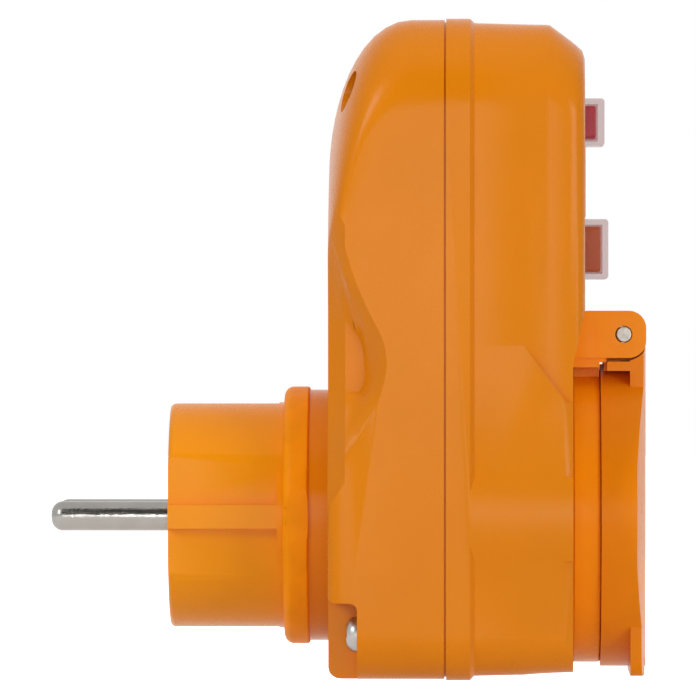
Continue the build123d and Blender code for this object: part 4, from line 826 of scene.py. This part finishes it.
class ADAPTER_OT_studio(AdapterOperator):
    """Set up the floor, the dark curtain, the world, the lights and the camera"""

    bl_idname = "adapter.studio"
    bl_label = "Studio"

    def execute(self, context):
        scene = context.scene
        scene.view_settings.view_transform = "Standard"
        self.add_floor(scene)
        self.add_curtain(scene)
        self.set_world(scene)
        for name, place, size, power, reflected in (
                ("left light", (-0.65, -0.70, 0.55), 0.32, 3.6, True),
                ("right light", (0.75, -0.75, 0.20), 0.32, 2.75, True),
                ("top light", (0.05, -0.10, 1.00), 1.20, 4.9, False),
                ("front light", (0.05, -1.50, 0.00), 0.46, 3.7, True),
                ("back light", (0.05, 1.20, 0.45), 0.80, 3.4, False)):
            self.add_light(scene, name, place, size, power).visible_glossy = reflected
        self.add_camera(scene)
        return {"FINISHED"}

    def add_light(self, scene, name, place, size, power):
        """A soft square lamp that faces the adapter's middle."""
        middle = (0.03, 0, 0.03)
        light = bpy.data.lights.new(name, "AREA")
        light.size = size
        light.energy = power
        lamp = bpy.data.objects.new(name, light)
        scene.collection.objects.link(lamp)
        self.aim(lamp, place, middle)
        return lamp

    def add_camera(self, scene):
        """A long lens that looks straight across the adapter, a little from the right."""
        place, target, lens = (0.0526, -1.400, 0.0271), (0.0287, 0.0, 0.0271), 445.8
        camera = bpy.data.cameras.new("camera")
        camera.sensor_width = 36.0
        camera.lens = lens
        camera.clip_start, camera.clip_end = 0.05, 20.0
        holder = bpy.data.objects.new("camera", camera)
        scene.collection.objects.link(holder)
        self.aim(holder, place, target)
        scene.camera = holder

    def aim(self, obj, place, target):
        """Puts a lamp or the camera at a place and turns it to a target."""
        obj.location = place
        obj.rotation_mode = "QUATERNION"
        way = Vector(target) - Vector(place)
        obj.rotation_quaternion = way.to_track_quat("-Z", "Y")

    def add_floor(self, scene):
        """A wide pale floor below the adapter."""
        half, height = 4.0, -0.040
        mesh = bpy.data.meshes.new("floor")
        mesh.from_pydata([(-half, -half, height), (half, -half, height), (half, half, height),
                          (-half, half, height)], [], [(0, 1, 2, 3)])
        floor = bpy.data.objects.new("floor", mesh)
        scene.collection.objects.link(floor)
        finish = Finish("pale floor", (0.86, 0.86, 0.86), 0.8)
        finish.roughness(finish.noise(30), 0.75, 0.9)
        self.show_white(finish)
        mesh.materials.append(finish.material)

    def add_curtain(self, scene):
        """A narrow dark curtain behind the camera and above its view, for the metal to show."""
        left, right, away, low, high = -0.45, 0.25, -1.7, 0.28, 3.0
        mesh = bpy.data.meshes.new("curtain")
        mesh.from_pydata([(left, away, low), (right, away, low), (right, away, high),
                          (left, away, high)], [], [(3, 2, 1, 0)])
        curtain = bpy.data.objects.new("curtain", mesh)
        scene.collection.objects.link(curtain)
        finish = Finish("dark curtain", (0.015, 0.015, 0.015), 0.9)
        finish.roughness(finish.noise(40), 0.85, 0.95)
        mesh.materials.append(finish.material)

    def show_white(self, finish):
        """Lightens the floor in the picture and in reflections, and more away from the shadow."""
        near, far, glow_near, glow_more = 0.18, 0.40, 0.60, 0.4
        output = finish.nodes["Material Output"]
        glow = finish.nodes.new("ShaderNodeEmission")
        glow.inputs["Color"].default_value = (1, 1, 1, 1)
        distance = finish.nodes.new("ShaderNodeVectorMath")
        distance.operation = "LENGTH"
        finish.links.new(finish.place, distance.inputs[0])
        more = finish.spread(distance.outputs["Value"], 0.0, glow_more, near, far)
        path = finish.nodes.new("ShaderNodeLightPath")
        seen = finish.nodes.new("ShaderNodeMath")
        seen.operation = "MULTIPLY_ADD"
        finish.links.new(more, seen.inputs[0])
        finish.links.new(path.outputs["Is Camera Ray"], seen.inputs[1])
        seen.inputs[2].default_value = glow_near
        finish.links.new(seen.outputs[0], glow.inputs["Strength"])
        added = finish.nodes.new("ShaderNodeAddShader")
        finish.links.new(finish.shader.outputs[0], added.inputs[0])
        finish.links.new(self.seen_directly(finish.nodes, finish.links, glow.outputs[0]),
                         added.inputs[1])
        finish.links.new(added.outputs[0], output.inputs["Surface"])

    def seen_directly(self, nodes, links, glow):
        """A glow for camera, glossy and transmission rays alone."""
        mix = nodes.new("ShaderNodeMixShader")
        links.new(self.picture_rays(nodes, links), mix.inputs[0])
        links.new(glow, mix.inputs[2])
        return mix.outputs[0]

    def picture_rays(self, nodes, links):
        """One for camera, glossy and transmission rays, otherwise zero."""
        path = nodes.new("ShaderNodeLightPath")
        seen = path.outputs["Is Camera Ray"]
        for kind in ("Is Glossy Ray", "Is Transmission Ray"):
            either = nodes.new("ShaderNodeMath")
            either.operation = "MAXIMUM"
            links.new(seen, either.inputs[0])
            links.new(path.outputs[kind], either.inputs[1])
            seen = either.outputs[0]
        return seen

    def set_world(self, scene):
        """An even, soft world that is white in the picture and in reflections."""
        world = bpy.data.worlds.new("studio")
        world.use_nodes = True
        scene.world = world
        nodes, links = world.node_tree.nodes, world.node_tree.links
        soft = nodes["Background"]
        soft.inputs["Color"].default_value = (1, 1, 1, 1)
        soft.inputs["Strength"].default_value = 0.22
        white = nodes.new("ShaderNodeBackground")
        white.inputs["Color"].default_value = (1, 1, 1, 1)
        white.inputs["Strength"].default_value = 1.0
        mix = nodes.new("ShaderNodeMixShader")
        links.new(self.picture_rays(nodes, links), mix.inputs[0])
        links.new(soft.outputs[0], mix.inputs[1])
        links.new(white.outputs[0], mix.inputs[2])
        links.new(mix.outputs[0], nodes["World Output"].inputs["Surface"])


class ADAPTER_PT_panel(bpy.types.Panel):
    """Settings and steps of the adapter"""

    bl_idname = "ADAPTER_PT_panel"
    bl_label = "Adapter"
    bl_space_type = "VIEW_3D"
    bl_region_type = "UI"
    bl_category = "Adapter"

    def draw(self, context):
        layout = self.layout
        for group in (context.scene.adapter_colours, context.scene.adapter_sizes):
            box = layout.box()
            for name in group.__annotations__:
                box.prop(group, name)
        for operator in OPERATORS:
            layout.operator(operator.bl_idname)


OPERATORS = (ADAPTER_OT_finishes, ADAPTER_OT_shells, ADAPTER_OT_metalwork, ADAPTER_OT_buttons,
             ADAPTER_OT_springs, ADAPTER_OT_windings, ADAPTER_OT_leads, ADAPTER_OT_studio)
CLASSES = (AdapterColours, AdapterSizes, *OPERATORS, ADAPTER_PT_panel)


def register():
    """Registers the classes and the scene's settings."""
    for cls in CLASSES:
        bpy.utils.register_class(cls)
    bpy.types.Scene.adapter_colours = PointerProperty(type=AdapterColours)
    bpy.types.Scene.adapter_sizes = PointerProperty(type=AdapterSizes)


def unregister():
    """Removes the settings and the classes."""
    del bpy.types.Scene.adapter_sizes
    del bpy.types.Scene.adapter_colours
    for cls in reversed(CLASSES):
        bpy.utils.unregister_class(cls)


def main():
    """Builds the adapter's looks."""
    register()
    for operator in (bpy.ops.adapter.finishes, bpy.ops.adapter.shells, bpy.ops.adapter.metalwork,
                     bpy.ops.adapter.buttons, bpy.ops.adapter.springs, bpy.ops.adapter.windings,
                     bpy.ops.adapter.leads, bpy.ops.adapter.studio):
        operator()


if __name__ == "__main__":
    main()
